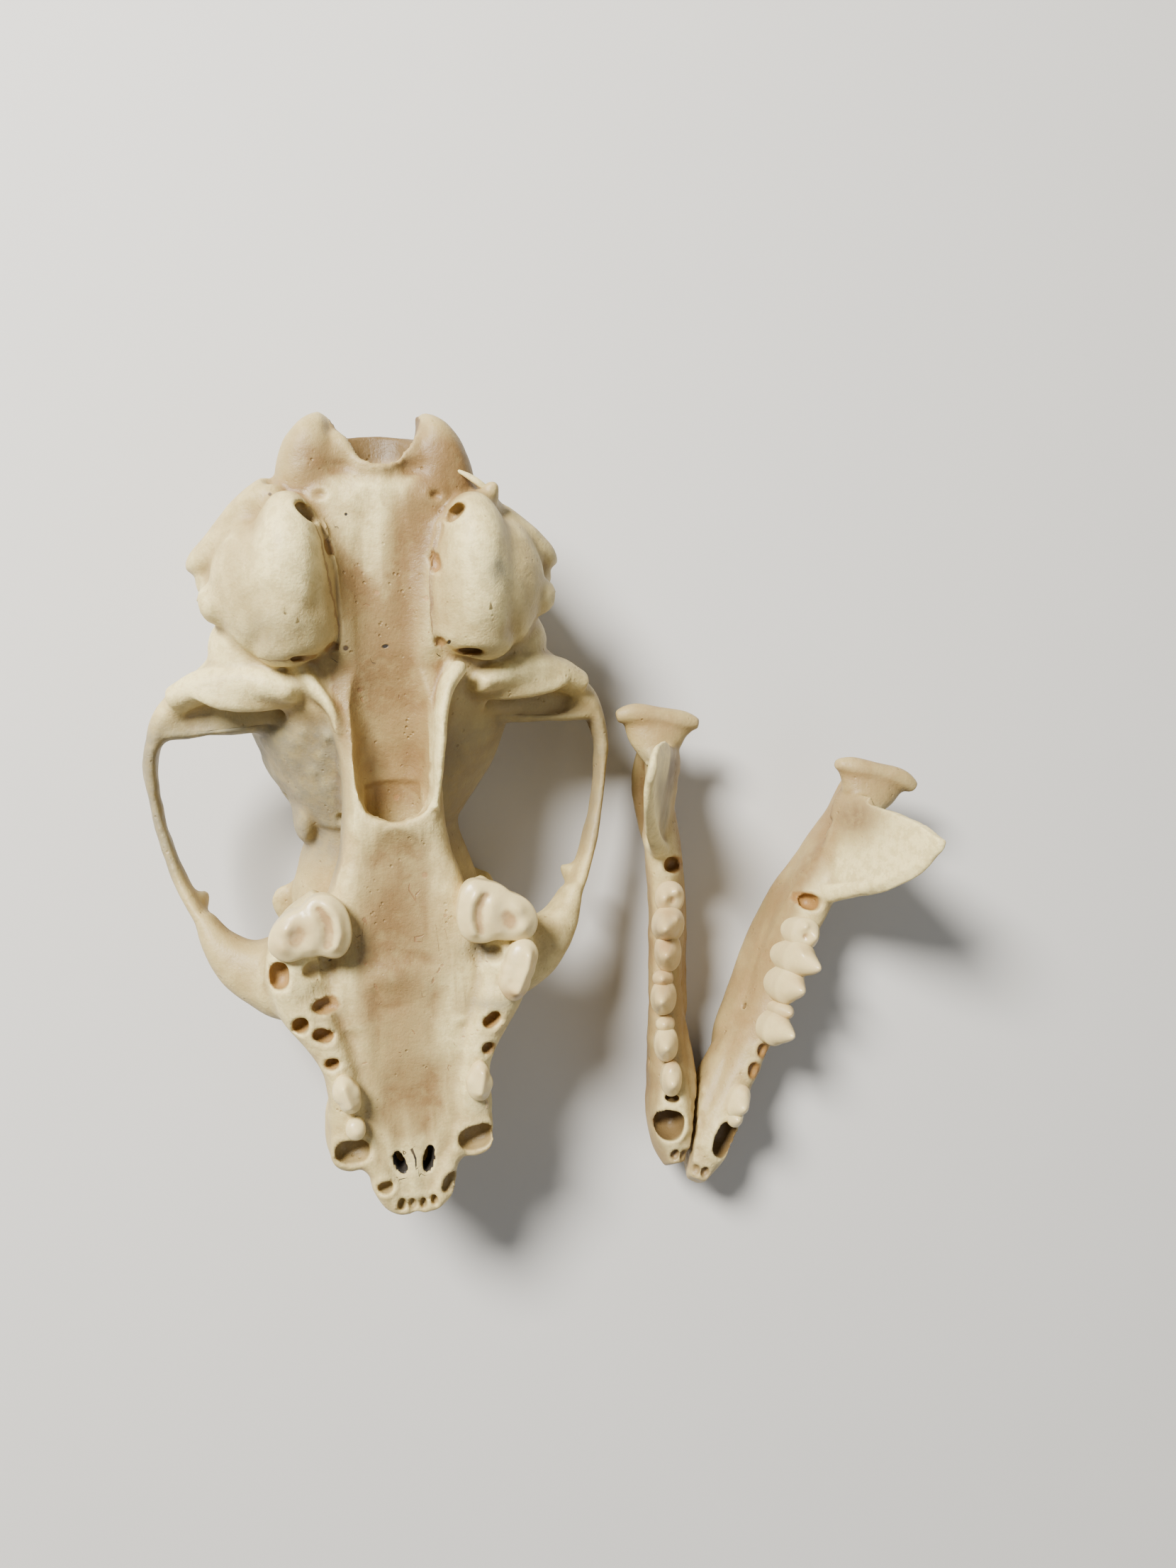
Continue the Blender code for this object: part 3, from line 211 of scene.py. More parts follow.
def skin(name, rings):
    """A closed mesh through rings of points: quads between neighbouring rings and a fan to the middle of each end.
    The faces are turned over if the sum of their signed volumes is negative."""
    along, around, _ = rings.shape
    points = np.concatenate([rings.reshape(-1, 3), [rings[0].mean(0), rings[-1].mean(0)]])
    quads = ring_quads(along, around)
    j = np.arange(around)
    k = (j + 1) % around
    low = np.stack([k, j, np.full(around, along * around)], -1)
    high = np.stack([j, k, np.full(around, along * around + 1)], -1)
    high[:, :2] += (along - 1) * around
    fans = np.concatenate([low, high])
    solid = np.concatenate([quads[:, [0, 1, 2]], quads[:, [0, 2, 3]], fans])
    a, b, c = points[solid[:, 0]], points[solid[:, 1]], points[solid[:, 2]]
    if (np.cross(a, b) * c).sum() < 0:
        quads, fans = quads[:, ::-1], fans[:, ::-1]
    return made(name, points, quads.tolist() + fans.tolist())


def tube(name, rows, side=(1, 0, 0), around=14, along=16, power=2.0):
    """A bar along the middle of its rows: x, y, z, half-width towards side and half-height across it. The point at
    angle a of a section is the middle plus cos a and sin a, each to the power 2/power, times the half-sizes."""
    rows = cubic(rows, FINER * along)
    tangent = np.gradient(rows[:, :3], axis=0)
    tangent /= np.linalg.norm(tangent, axis=1)[:, None]
    up = np.cross(tangent, np.array(side, float))
    up /= np.linalg.norm(up, axis=1)[:, None]
    across = np.cross(up, tangent)
    c, s = rounded(circle(FINER * around, OFF_AXIS), power)
    rings = (rows[:, None, :3] + across[:, None] * (c[None, :] * rows[:, 3, None])[..., None]
             + up[:, None] * (s[None, :] * rows[:, 4, None])[..., None])
    return skin(name, rings)


def case(name, rows, around=28, along=26):
    """A hull of upright sections: y, half-width, lower z, upper z, z of the widest level, and the squareness
    of its lower and upper halves. Lower is towards the roof of the skull."""
    rows = cubic([(0.0, r[0], 0.0, *r[1:]) for r in rows], FINER * along)
    y, half, low, high, wide, low_power, high_power = rows[:, [1, 3, 4, 5, 6, 7, 8]].T[:, :, None]
    angles = circle(FINER * around, OFF_AXIS)[None, :]
    x, s = rounded(angles, np.where(np.sin(angles) < 0, low_power, high_power))
    z = wide + np.where(s < 0, wide - low, high - wide) * s
    return skin(name, np.stack([half * x, np.broadcast_to(y, x.shape), z], -1))


def egg(name, middle, half, turn=(0, 0, 0), around=20, along=12):
    """An ellipsoid: the unit ball over its two angles, times the half-sizes, turned by degrees about x, y and z."""
    t = np.linspace(0.06, math.pi - 0.06, FINER * along)[:, None]
    a = circle(FINER * around)[None, :]
    ball = np.stack([np.sin(t) * np.cos(a), np.cos(t) * np.ones_like(a), np.sin(t) * np.sin(a)], -1)
    x, y, z = (Matrix.Rotation(math.radians(angle), 3, axis) for angle, axis in zip(turn, "XYZ"))
    return skin(name, (ball * np.array(half)) @ np.array(z @ y @ x).T + np.array(middle))


def slanted_pit(name, x, y, half_x, half_y, depth, floor=0.0, turn=0.0, back=0.3, rise=2.5):
    """A tapering hole: an ellipse turned by degrees, carried down from rise to its depth. Its share of full size
    is the root of one minus the cube of 0.92 times the depth share, and its middle slides back with the depth."""
    t = np.linspace(0.0, 1.0, 10)[:, None]
    share = np.sqrt(np.maximum(1 - (0.92 * t) ** 3, 0.0))
    c, s = rounded(circle(24, OFF_AXIS)[None, :], 2.5)
    u, v = turned(share * half_x * c, share * half_y * s, turn)
    pit = np.stack([x + u, y + v + back * depth * t, floor - depth * t + 0 * u], -1)
    lid = pit[:1] + np.array([0.0, 0.0, rise])
    return skin(name, np.concatenate([lid, pit]))


def drilled(name, start, end, wide, narrow):
    """A hole as a round bar between two points that goes from one radius to the other."""
    start, end = np.array(start, float), np.array(end, float)
    radii = [(t, wide + (narrow - wide) * t) for t in (0, 0.5, 1)]
    rows = [(*(start + (end - start) * t), radius, radius) for t, radius in radii]
    side = (1, 0, 0) if abs((end - start)[0]) < 0.8 * np.linalg.norm(end - start) else (0, 0, 1)
    return tube(name, rows, side=side, around=6, along=3)


def slab(name, first, last, low, high):
    """A box between two corners, given as x and y, and two heights."""
    (x, y), (far_x, far_y) = first, last
    outline = ((x, y), (far_x, y), (far_x, far_y), (x, far_y))
    return skin(name, np.array([[(*corner, z) for corner in outline] for z in (low, high)], float))


def baked(obj):
    """The object with its modifiers applied to its mesh."""
    graph = bpy.context.evaluated_depsgraph_get()
    mesh = bpy.data.meshes.new_from_object(obj.evaluated_get(graph))
    obj.modifiers.clear()
    obj.data = mesh
    return obj


def boolean(obj, others, operation):
    """One Boolean of the object with a collection of closed pieces, which are then removed."""
    group = bpy.data.collections.new("operands")
    for other in others:
        group.objects.link(other)
    cut = obj.modifiers.new("join", "BOOLEAN")
    cut.operation, cut.solver = operation, "MANIFOLD"
    cut.operand_type, cut.collection = "COLLECTION", group
    baked(obj)
    for other in others:
        bpy.data.objects.remove(other)
    bpy.data.collections.remove(group)
    return obj


def evened(obj, voxel, rounds):
    """The object as one even skin of voxels, then lightly smoothed."""
    remesh = obj.modifiers.new("even", "REMESH")
    remesh.mode, remesh.voxel_size = "VOXEL", voxel
    smooth = obj.modifiers.new("soft", "SMOOTH")
    smooth.factor, smooth.iterations = 0.5, rounds
    return baked(obj)


def thinned(obj, most):
    """The object with at most so many triangles."""
    count = sum(len(p.vertices) - 2 for p in obj.data.polygons)
    if count > most:
        thin = obj.modifiers.new("thin", "DECIMATE")
        thin.ratio = most / count
        baked(obj)
    return obj


def main_shell(obj):
    """The object with only its largest connected surface: each point takes the lowest number met over its edges
    until none changes, and the number met most often is kept."""
    mesh = obj.data
    edges = np.empty(len(mesh.edges) * 2, np.int64)
    mesh.edges.foreach_get("vertices", edges)
    edges = edges.reshape(-1, 2)
    label = np.arange(len(mesh.vertices))
    while True:
        low = np.minimum(label[edges[:, 0]], label[edges[:, 1]])
        new = label.copy()
        np.minimum.at(new, edges[:, 0], low)
        np.minimum.at(new, edges[:, 1], low)
        new = new[new]
        if (new == label).all():
            break
        label = new
    keep = label == np.bincount(label).argmax()
    if keep.all():
        return obj
    number = np.cumsum(keep) - 1
    faces = [[int(number[v]) for v in p.vertices] for p in mesh.polygons if keep[p.vertices[0]]]
    points = positions(obj)[keep]
    clean = bpy.data.meshes.new(mesh.name)
    clean.from_pydata(points.tolist(), [], faces)
    obj.data = clean
    return obj


def positions(obj):
    """The mesh's points as rows."""
    points = np.empty(len(obj.data.vertices) * 3, np.float32)
    obj.data.vertices.foreach_get("co", points)
    return points.reshape(-1, 3).astype(float)


def facings(obj):
    """The directions in which the surface faces at the points."""
    normals = np.empty(len(obj.data.vertices) * 3, np.float32)
    obj.data.vertex_normals.foreach_get("vector", normals)
    return normals.reshape(-1, 3).astype(float)


def moved(obj, points):
    """Puts the mesh's points at new places."""
    obj.data.vertices.foreach_set("co", points.astype(np.float32).ravel())
    obj.data.update()
    return obj


def mirrored_rows(rows):
    """The rows on the other side of the middle plane."""
    return [(-r[0], *r[1:]) for r in rows]


def arched(rows):
    """Rows that reach the middle plane with their last one, carried on to the other side."""
    return rows + mirrored_rows(rows[-2::-1])


def pair(name, rows, **options):
    """The same bar on both sides."""
    return [tube(name, rows, **options), tube(name, mirrored_rows(rows), **options)]


def pair_of_eggs(name, middle, half, turn=(0, 0, 0), **options):
    """The same ellipsoid on both sides."""
    x, y, z = middle
    tx, ty, tz = turn
    return [egg(name, middle, half, turn, **options), egg(name, (-x, y, z), half, (tx, -ty, -tz), **options)]


def nose_and_palate():
    """Snout, frontal roof, the narrow walls between the orbits and the bone that carries the teeth."""
    snout = case("snout", [
        (0.6, 2.2, -4.4, -1.0, -2.6, 2.0, 2.6),
        (2.4, 3.4, -7.4, -0.8, -3.2, 2.0, 2.8),
        (4.8, 4.2, -10.4, -0.7, -4.6, 2.0, 3.0),
        (8.2, 6.2, -12.4, -0.7, -5.4, 2.1, 3.4),
        (12.0, 7.1, -13.9, -0.8, -6.0, 2.1, 3.6),
        (17.0, 7.6, -15.8, -0.8, -7.0, 2.1, 3.6),
        (22.0, 8.6, -18.0, -0.9, -9.0, 2.2, 3.0),
        (27.0, 9.6, -20.2, -1.0, -13.0, 2.3, 2.6),
        (31.0, 9.8, -21.2, -5.0, -15.0, 2.6, 2.2),
    ])
    forehead = case("forehead", [
        (24.0, 8.6, -18.6, -11.0, -14.5, 2.6, 2.0),
        (28.0, 10.0, -20.6, -10.5, -17.2, 3.4, 2.0),
        (31.0, 10.2, -21.4, -10.0, -18.0, 3.4, 2.0),
        (34.5, 9.2, -22.0, -9.5, -17.6, 2.8, 2.0),
        (38.5, 8.2, -22.6, -9.0, -16.8, 2.3, 2.0),
        (42.0, 10.4, -23.0, -8.0, -16.3, 2.2, 2.0),
        (46.5, 12.1, -23.5, -7.0, -15.8, 2.2, 2.0),
    ])
    keel = case("keel", [
        (20.0, 8.4, -13.0, -0.9, -6.0, 2.0, 4.0),
        (28.0, 8.2, -14.0, -1.0, -6.0, 2.0, 4.0),
        (33.0, 6.9, -13.5, -1.0, -6.0, 2.0, 4.0),
        (37.5, 5.4, -13.0, -1.0, -6.0, 2.0, 4.0),
        (42.0, 4.9, -12.5, -1.1, -5.5, 2.0, 4.0),
        (47.0, 5.2, -12.0, -1.3, -6.0, 2.0, 3.6),
        (51.5, 6.4, -11.0, -2.2, -7.0, 2.0, 2.8),
        (55.0, 8.6, -10.0, -3.2, -7.5, 2.0, 2.6),
    ])
    incisor_rows = pair("incisor_row", [
        (0.5, 0.9, -2.3, 1.5, 0.9), (1.9, 1.5, -2.2, 1.7, 1.15), (2.9, 3.3, -2.1, 1.9, 1.25),
        (3.3, 5.2, -2.3, 2.0, 1.2), (4.4, 7.0, -2.5, 2.0, 1.5)], along=16, side=UP, power=2.2)
    tooth_rows = pair("tooth_row", [
        (5.9, 7.4, -2.4, 2.2, 1.7), (6.2, 10.0, -2.3, 2.1, 1.95), (6.2, 13.0, -2.4, 2.1, 1.85),
        (6.7, 16.0, -2.4, 2.2, 1.7), (8.1, 19.4, -2.5, 2.4, 2.1), (9.6, 22.4, -2.6, 2.6, 2.6),
        (10.6, 26.5, -2.7, 2.7, 2.8), (10.2, 29.8, -3.0, 2.6, 2.3), (7.2, 33.2, -3.0, 2.2, 1.6),
    ], along=26, side=UP, power=2.3)
    fangs = pair("canine_root", [
        (6.15, 8.0, -0.6, 2.0, 2.3), (6.3, 8.3, -2.4, 2.05, 2.8), (6.2, 10.6, -7.2, 1.6, 1.9),
        (5.6, 12.8, -11.2, 0.8, 1.2)], power=2.2)
    horns = pair("brow", [
        (6.0, 29.0, -19.4, 1.9, 5.4), (9.0, 29.4, -19.5, 1.3, 4.0), (10.8, 30.0, -19.4, 0.9, 2.4),
        (12.1, 30.7, -19.0, 0.5, 0.9),
    ], side=UP, around=12, along=10)
    cheeks = pair("cheek", [
        (8.6, 24.4, -6.2, 4.8, 4.6), (12.4, 25.2, -6.4, 4.2, 4.0), (15.2, 26.2, -6.9, 3.3, 2.9),
        (17.4, 28.2, -7.8, 2.8, 1.8), (19.0, 31.0, -8.9, 2.4, 0.9),
    ], side=UP, power=2.4)
    hook_plate = tube("hook_plate", [
        (3.8, 41.8, -2.2, 1.6, 0.6), (4.2, 45.0, -1.6, 1.9, 0.5), (4.5, 48.0, -1.3, 2.0, 0.5),
        (4.8, 51.0, -1.3, 1.9, 0.55), (5.6, 53.6, -2.0, 1.7, 0.7), (7.0, 55.4, -3.0, 1.4, 0.9)],
        side=UP, around=12, along=16)
    waist = egg("waist", (-8.3, 40.2, -16.2), (1.4, 3.6, 4.6))
    return [snout, forehead, keel, waist, hook_plate, *incisor_rows, *tooth_rows, *fangs, *horns, *cheeks]


def brain_box():
    """The braincase with its crests, condyles, ear region and the roots of the cheek arches."""
    vault = case("vault", [
        (39.0, 8.2, -22.6, -8.0, -16.2, 2.1, 2.0),
        (44.5, 11.7, -23.3, -6.2, -15.2, 2.1, 2.2),
        (49.0, 13.4, -23.8, -4.8, -14.8, 2.1, 2.4),
        (55.0, 15.3, CASE_ROOF + 1.0, -3.4, -14.5, 2.1, 2.6),
        (60.0, CASE_HALF_WIDTH - 0.8, CASE_ROOF + 0.4, -2.8, -14.0, 2.1, 2.8),
        (65.0, 15.6, CASE_ROOF, -2.6, -14.0, 2.1, 2.8),
        (69.5, 12.9, CASE_ROOF + 0.7, -2.6, -13.5, 2.1, 2.8),
        (73.0, 10.2, CASE_ROOF + 1.8, -2.8, -13.5, 2.1, 2.6),
        (75.4, 8.4, CASE_ROOF + 2.9, -4.8, -14.0, 2.2, 2.2),
        (76.8, 6.2, CASE_ROOF + 3.8, -9.0, -16.0, 2.2, 2.0),
        (77.6, 3.6, CASE_ROOF + 4.8, -12.0, -17.5, 2.0, 2.0),
    ], around=32, along=34)
    condyles = pair("condyle", [
        (5.7, 71.6, -6.0, 3.8, 2.6), (6.1, 74.6, -6.6, 3.5, 3.6), (6.0, 77.2, -7.2, 2.4, 3.8),
        (5.3, 79.1, -7.6, 1.1, 2.6), (5.0, 80.0, -7.8, 0.4, 1.0)], power=2.2)
    condyle_rims = pair("condyle_rim", [
        (0.0, 74.3, -4.0, 1.3, 1.0), (2.2, 75.0, -4.4, 1.2, 1.1), (3.7, 76.9, -5.6, 0.9, 1.2),
        (4.6, 78.8, -6.9, 0.7, 1.3), (4.85, 79.7, -8.0, 0.4, 0.7)], side=UP, around=12, along=12)
    condyle_roots = pair_of_eggs("condyle_root", (4.2, 71.6, -5.4), (4.4, 3.6, 2.6))
    condyle_lips = pair_of_eggs("condyle_lip", (3.8, 75.4, -5.7), (2.5, 2.7, 2.3), (0, 0, -20))
    opisthion = tube("foramen_roof", arched([
        (-6.4, 76.2, -9.0, 1.5, 1.5), (-3.4, 77.2, -11.3, 1.2, 1.2), (0.0, 77.5, -12.0, 1.1, 1.1)]), side=BACK)
    nape = tube("nape_crest", arched([
        (-15.6, 66.2, -10.0, 1.1, 1.3), (-13.0, 69.8, -14.6, 1.0, 1.3), (-9.4, 73.4, -19.0, 0.9, 1.3),
        (-4.8, 76.4, -21.6, 0.9, 1.4), (0.0, 77.2, -22.5, 1.0, 1.5)]), side=UP, along=40, around=10)
    crest = tube("roof_crest", [
        (0.0, 40.0, -22.2, 0.7, 0.5), (0.0, 46.0, -23.1, 0.9, 0.8), (0.0, 54.0, -24.1, 1.0, 0.8),
        (0.0, 62.0, -25.1, 1.0, 0.8), (0.0, 70.0, -24.7, 0.9, 1.2), (0.0, 77.0, -22.6, 0.8, 1.6)],
        along=24, around=10)
    ears = pair_of_eggs("ear_region", (11.6, 64.6, -8.2), (5.0, 5.8, 5.4), (0, 0, 8))
    meatus = pair_of_eggs("ear_tube", (13.4, 61.9, -5.8), (4.3, 2.7, 3.4), (0, 0, 6))
    mastoids = pair("mastoid", [
        (11.6, 69.2, -6.2, 2.6, 2.4), (14.8, 67.4, -7.4, 2.6, 1.9), (17.2, 66.1, -8.8, 1.9, 1.2),
        (18.2, 65.6, -9.6, 0.8, 0.6)], side=UP, along=10)
    webs = pair_of_eggs("mastoid_web", (15.6, 64.2, -8.4), (2.1, 2.0, 2.2))
    back_shelves = [tube("back_shelf", rows, side=UP) for rows in (
        [(14.4, 66.4, -8.4, 2.4, 2.1), (11.8, 69.2, -7.0, 2.8, 1.9), (9.2, 71.8, -5.2, 2.4, 2.0)],
        [(-14.6, 66.8, -8.4, 2.4, 2.3), (-12.2, 70.0, -7.0, 2.8, 2.4), (-9.4, 72.2, -5.4, 2.4, 2.3)])]
    spikes = [tube("ear_spike", rows, around=10, along=6) for rows in (
        [(9.8, 70.6, -4.6, 1.9, 1.8), (10.6, 72.0, -3.2, 1.1, 1.1), (11.1, 73.0, -2.4, 0.5, 0.5)],
        [(-9.6, 70.8, -4.8, 1.9, 1.8), (-10.0, 72.0, -4.4, 1.4, 1.2), (-10.2, 73.0, -4.6, 0.7, 0.7)])]
    joint_roofs = pair("joint_roof", [
        (8.6, 52.6, -9.0, 2.6, 3.4), (14.6, 52.0, -9.8, 1.8, 3.2), (21.0, 51.2, -10.0, 1.3, 2.4)], side=UP)
    joint_backs = pair("joint_back", [
        (8.9, 53.3, -3.6, 1.2, 0.8), (10.4, 53.9, -5.0, 2.4, 1.5), (13.8, 54.6, -6.4, 2.5, 1.7),
        (17.6, 54.2, -7.6, 2.3, 1.7), (20.6, 52.9, -8.6, 1.9, 1.3)], side=UP)
    joint_slopes = pair_of_eggs("joint_slope", (12.8, 57.4, -8.6), (4.2, 4.2, 4.0), (0, 0, -14))
    joint_fronts = pair("joint_front", [
        (11.2, 50.4, -9.2, 1.4, 1.2), (16.0, 49.9, -9.2, 1.3, 1.0), (21.4, 49.8, -9.3, 1.4, 1.0)], side=UP)
    arch_shelves = pair("arch_shelf", [
        (12.6, 57.4, -9.8, 3.0, 2.8), (16.2, 54.6, -9.4, 2.4, 2.2), (20.0, 52.3, -9.4, 1.9, 1.7)], side=UP)
    return [vault, *condyles, *condyle_rims, *condyle_roots, *condyle_lips, opisthion, nape, crest, *ears, *meatus,
            *mastoids, *webs, *back_shelves, *spikes, *joint_roofs, *joint_backs, *joint_slopes, *joint_fronts,
            *arch_shelves]


ARCH = [
    (13.2, 25.4, -6.6, 3.2, 2.4), (15.9, 27.1, -7.4, 2.9, 1.4), (18.3, 29.6, -8.4, 2.5, 0.85),
    (20.3, 33.0, -9.8, 2.2, 0.7), (22.1, 38.0, -11.0, 2.0, 0.65), (ARCH_HALF_SPAN - 0.25, 43.2, -11.2, 2.0, 0.65),
    (23.0, 47.4, -10.6, 1.9, 0.8), (21.6, 50.8, -9.8, 1.9, 1.3), (18.8, 53.2, -9.6, 2.0, 1.8),
]


def cheek_arches():
    """The two cheek arches, each a thin upright plate bowed outwards, with the small spur of the orbit's rim."""
    bars = pair("arch", ARCH, side=UP, along=32, around=14)
    spurs = pair("spur", [
        (19.6, 31.8, -10.0, 1.6, 0.8), (19.2, 32.2, -11.5, 1.1, 0.6), (18.8, 32.6, -12.7, 0.5, 0.4)],
        side=BACK, around=10, along=6)
    return [*bars, *spurs]


def bullae():
    """The two blown-out ear capsules, closer together in front, with the swelling that joins each to its ear."""
    domes = pair("bulla", [
        (8.3, 56.7, -5.0, 2.5, 2.4), (8.6, 57.8, -4.7, 3.8, 4.1), (8.9, 60.0, -4.2, 4.35, 5.0),
        (9.0, 62.5, -3.9, 4.45, 5.6), (9.1, 65.5, -3.8, 4.3, 6.0), (8.9, 68.0, -3.9, 3.6, 5.7),
        (8.6, 70.0, -4.2, 2.6, 4.5), (8.4, 71.3, -4.8, 1.2, 2.3)], around=24, along=24, power=2.05)
    flanks = pair_of_eggs("flank", (11.8, 63.4, -4.8), (4.5, 6.5, 5.3), (0, -12, -4))
    return [*domes, *flanks]


def hollows():
    """What is open in the cranium: nose, throat channel, hole of the spinal cord and the holes under the eyes."""
    nose = egg("nose", (0, 1.0, -6.9), (3.6, 6.6, 3.4), (26, 0, 0))
    throat = tube("throat", [
        (0, 31.0, -4.6, 2.2, 1.2), (0, 36.0, -4.5, 2.7, 1.7), (0, 44.0, -4.2, 3.0, 2.0)], power=2.6)
    channel = tube("channel", [
        (0, PALATE_END - 0.6, 0.4, 0.6, 3.0), (0, PALATE_END, 0.4, 2.3, 5.4), (0, PALATE_END + 1.4, 0.4, 3.3, 6.2),
        (0, 45.0, 0.4, 3.8, 6.3), (0, 49.0, 0.4, 4.0, 5.5), (0, 53.0, 0.4, 4.3, 4.75), (0, 57.0, 0.4, 4.4, 4.15),
        (0, 62.0, 0.4, 4.3, 3.65), (0, 68.0, 0.4, 4.4, 3.35), (0, 73.0, 0.4, 3.2, 3.1), (0, 75.6, 0.4, 1.8, 2.6)],
        power=3.2, along=30)
    broken_plate = tube("broken_plate", [
        (-4.8, 43.0, 0.6, 0.9, 1.2), (-4.8, 45.6, 0.4, 1.5, 2.2), (-5.2, 50.0, 0.4, 1.5, 2.4),
        (-5.4, 54.0, 0.4, 1.2, 1.6)])
    cord = egg("cord", (0, 80.2, -8.0), (4.4, 9.6, 3.9), (-6, 0, 0))
    notch = tube("notch", [
        (0.2, 74.7, -5.0, 0.5, 3.4), (0.2, 75.1, -5.0, 1.6, 3.8), (0.2, 76.0, -5.0, 2.4, 4.0),
        (0.3, 77.4, -5.0, 3.4, 4.0), (0.3, 79.2, -5.0, 4.2, 4.0), (0.3, 82.0, -5.0, 4.5, 4.0)],
        power=4.0, around=16)
    under_eye = pair("under_eye", [
        (13.2, 15.5, -6.4, 1.2, 1.8), (10.4, 20.6, -7.0, 1.1, 1.6), (10.8, 31.0, -8.8, 1.3, 1.8)])
    joints = pair("jaw_joint", [
        (9.6, 52.0, -7.0, 0.6, 0.8), (12.0, 51.7, -7.4, 1.0, 1.35), (16.0, 51.4, -7.8, 1.0, 1.35),
        (19.4, 50.8, -8.2, 0.7, 0.9)], side=UP)
    tooth_gaps = pair("tooth_gap", [
        (6.0, 26.5, 0.6, 1.2, 0.9), (7.4, 26.7, 0.5, 1.9, 1.2), (8.8, 26.8, 0.5, 1.9, 1.1),
        (9.6, 26.9, 0.6, 1.1, 0.8)], side=UP)
    return [nose, throat, channel, broken_plate, cord, notch, *under_eye, *joints, *tooth_gaps]


def jaw_bone():
    """One half of the lower jaw, the one on the +x side: x is outwards from the middle plane."""
    body = tube("jaw_body", [
        (1.2, 0.9, 6.9, 1.0, 1.6), (1.8, 2.8, 6.2, 1.9, 2.9), (2.4, 6.0, 5.5, 2.5, 3.9), (3.5, 10.0, 4.8, 2.2, 3.9),
        (5.1, 14.6, 4.4, 2.05, 3.9), (6.3, 19.0, 4.4, 1.95, 4.0), (7.3, 24.0, 4.5, 1.95, 4.3),
        (8.2, 29.0, 4.8, 2.05, 4.6), (9.4, 33.6, 5.2, 2.1, 4.5), (10.6, 37.6, 5.8, 1.9, 4.2),
        (11.8, 41.6, 6.4, 1.6, 3.6), (12.5, 45.0, 7.2, 1.3, 2.8), (12.8, 47.2, 8.4, 0.9, 1.6),
    ], power=2.5, around=18, along=34)
    lower_edge = tube("lower_edge", [
        (4.2, 13.0, 3.1, 1.5, 2.3), (5.2, 18.0, 2.9, 1.7, 2.5), (6.3, 23.0, 2.8, 1.8, 2.6),
        (7.3, 28.0, 2.9, 1.85, 2.6), (8.7, 33.0, 3.3, 1.8, 2.5), (10.7, 38.0, 4.0, 1.5, 2.3)], power=2.2, along=20)
    chin = tube("chin", [
        (0.9, 2.6, 6.2, 1.4, 2.6), (1.4, 7.0, 5.2, 1.9, 3.0), (2.1, 11.0, 4.4, 1.6, 2.8), (3.6, 14.6, 4.2, 1.3, 2.2),
        (4.9, 17.5, 4.3, 0.9, 1.6),
    ], power=2.4, around=14, along=14)
    blade = tube("coronoid", [
        (10.4, 39.6, 8.0, 6.2, 1.2), (10.8, 39.9, 11.5, 5.7, 1.0), (11.2, 40.4, 15.0, 5.2, 0.85),
        (11.5, 41.0, 18.0, 4.6, 0.75), (11.8, 41.5, 20.5, 3.8, 0.65), (12.0, 41.9, 22.6, 2.6, 0.6),
        (12.0, 41.9, 24.4, 1.0, 0.45),
    ], side=BACK, power=2.5, around=18, along=18)
    edge = tube("coronoid_edge", [
        (9.8, 34.2, 8.6, 1.2, 1.2), (10.1, 34.8, 11.4, 0.9, 0.9), (10.7, 35.8, 14.6, 0.75, 0.75),
        (11.3, 37.3, 18.2, 0.65, 0.65), (11.8, 39.6, 22.2, 0.5, 0.5)], around=10, along=12)
    condyle = tube("jaw_condyle", [
        (17.4, 47.4, 10.0, 0.7, 0.7), (16.2, 47.9, 9.9, 1.1, 1.2), (12.8, 48.3, 9.6, 1.15, 1.35),
        (9.4, 48.5, 9.5, 1.05, 1.25), (8.1, 48.5, 9.6, 0.6, 0.7)], side=BACK, around=14, along=14)
    neck = tube("jaw_neck", [
        (12.1, 43.6, 8.4, 1.6, 2.8), (12.5, 45.3, 8.8, 2.7, 2.2), (12.8, 47.0, 9.2, 3.7, 1.6),
        (12.8, 48.0, 9.4, 4.2, 1.2)], around=16, along=10)
    angle = tube("jaw_angle", [
        (11.8, 41.0, 3.6, 1.0, 1.3), (12.6, 44.4, 4.0, 1.0, 1.1), (12.9, 47.0, 4.6, 0.9, 0.8),
        (12.9, 48.2, 5.2, 0.5, 0.5)], around=12, along=10)
    ridge = tube("muscle_ridge", [
        (9.8, 33.5, 2.6, 1.3, 1.3), (12.0, 37.5, 2.9, 1.4, 1.1), (13.3, 41.5, 3.6, 1.3, 1.0),
        (13.6, 45.0, 4.8, 0.9, 0.9)], around=12, along=12)
    return [body, lower_edge, chin, blade, edge, condyle, neck, angle, ridge]


def leaned(obj, side):
    """Leans a half of the jaw outwards about its tooth line, by nothing at the chin and fully behind the premolars,
    draws it out to its length, and turns it over to the other side for a negative side."""
    points = positions(obj)
    share = eased(points[:, 1], 6.0, 19.0)
    points[:, 0] += (points[:, 2] - TOOTH_LINE) * math.tan(math.radians(JAW_LEAN)) * share
    points[:, 1] *= JAW_LENGTH / JAW_DRAWN
    moved(obj, points)
    if side < 0:
        obj.data.transform(Matrix.Scale(-1, 4, (1, 0, 0)))
        obj.data.flip_normals()
    return obj


def bell(distance, reach):
    """1 at no distance, falling as the bell curve of the distance over the reach."""
    return np.exp(-((distance / reach) ** 2))


def near(points, middle, reach):
    """The bell curve of the distance to a place, with a reach of its own along each axis."""
    away = (points - np.array(middle, float)) / np.array(reach, float)
    return np.exp(-(away * away).sum(1))


def eased(value, low, high):
    """0 below low, 1 above high and the smooth step between."""
    t = np.clip((value - low) / (high - low), 0.0, 1.0)
    return t * t * (3 - 2 * t)


def between(value, start, full, last, end):
    """1 from full to last, falling smoothly to 0 at the start and at the end."""
    return eased(value, start, full) * (1 - eased(value, last, end))


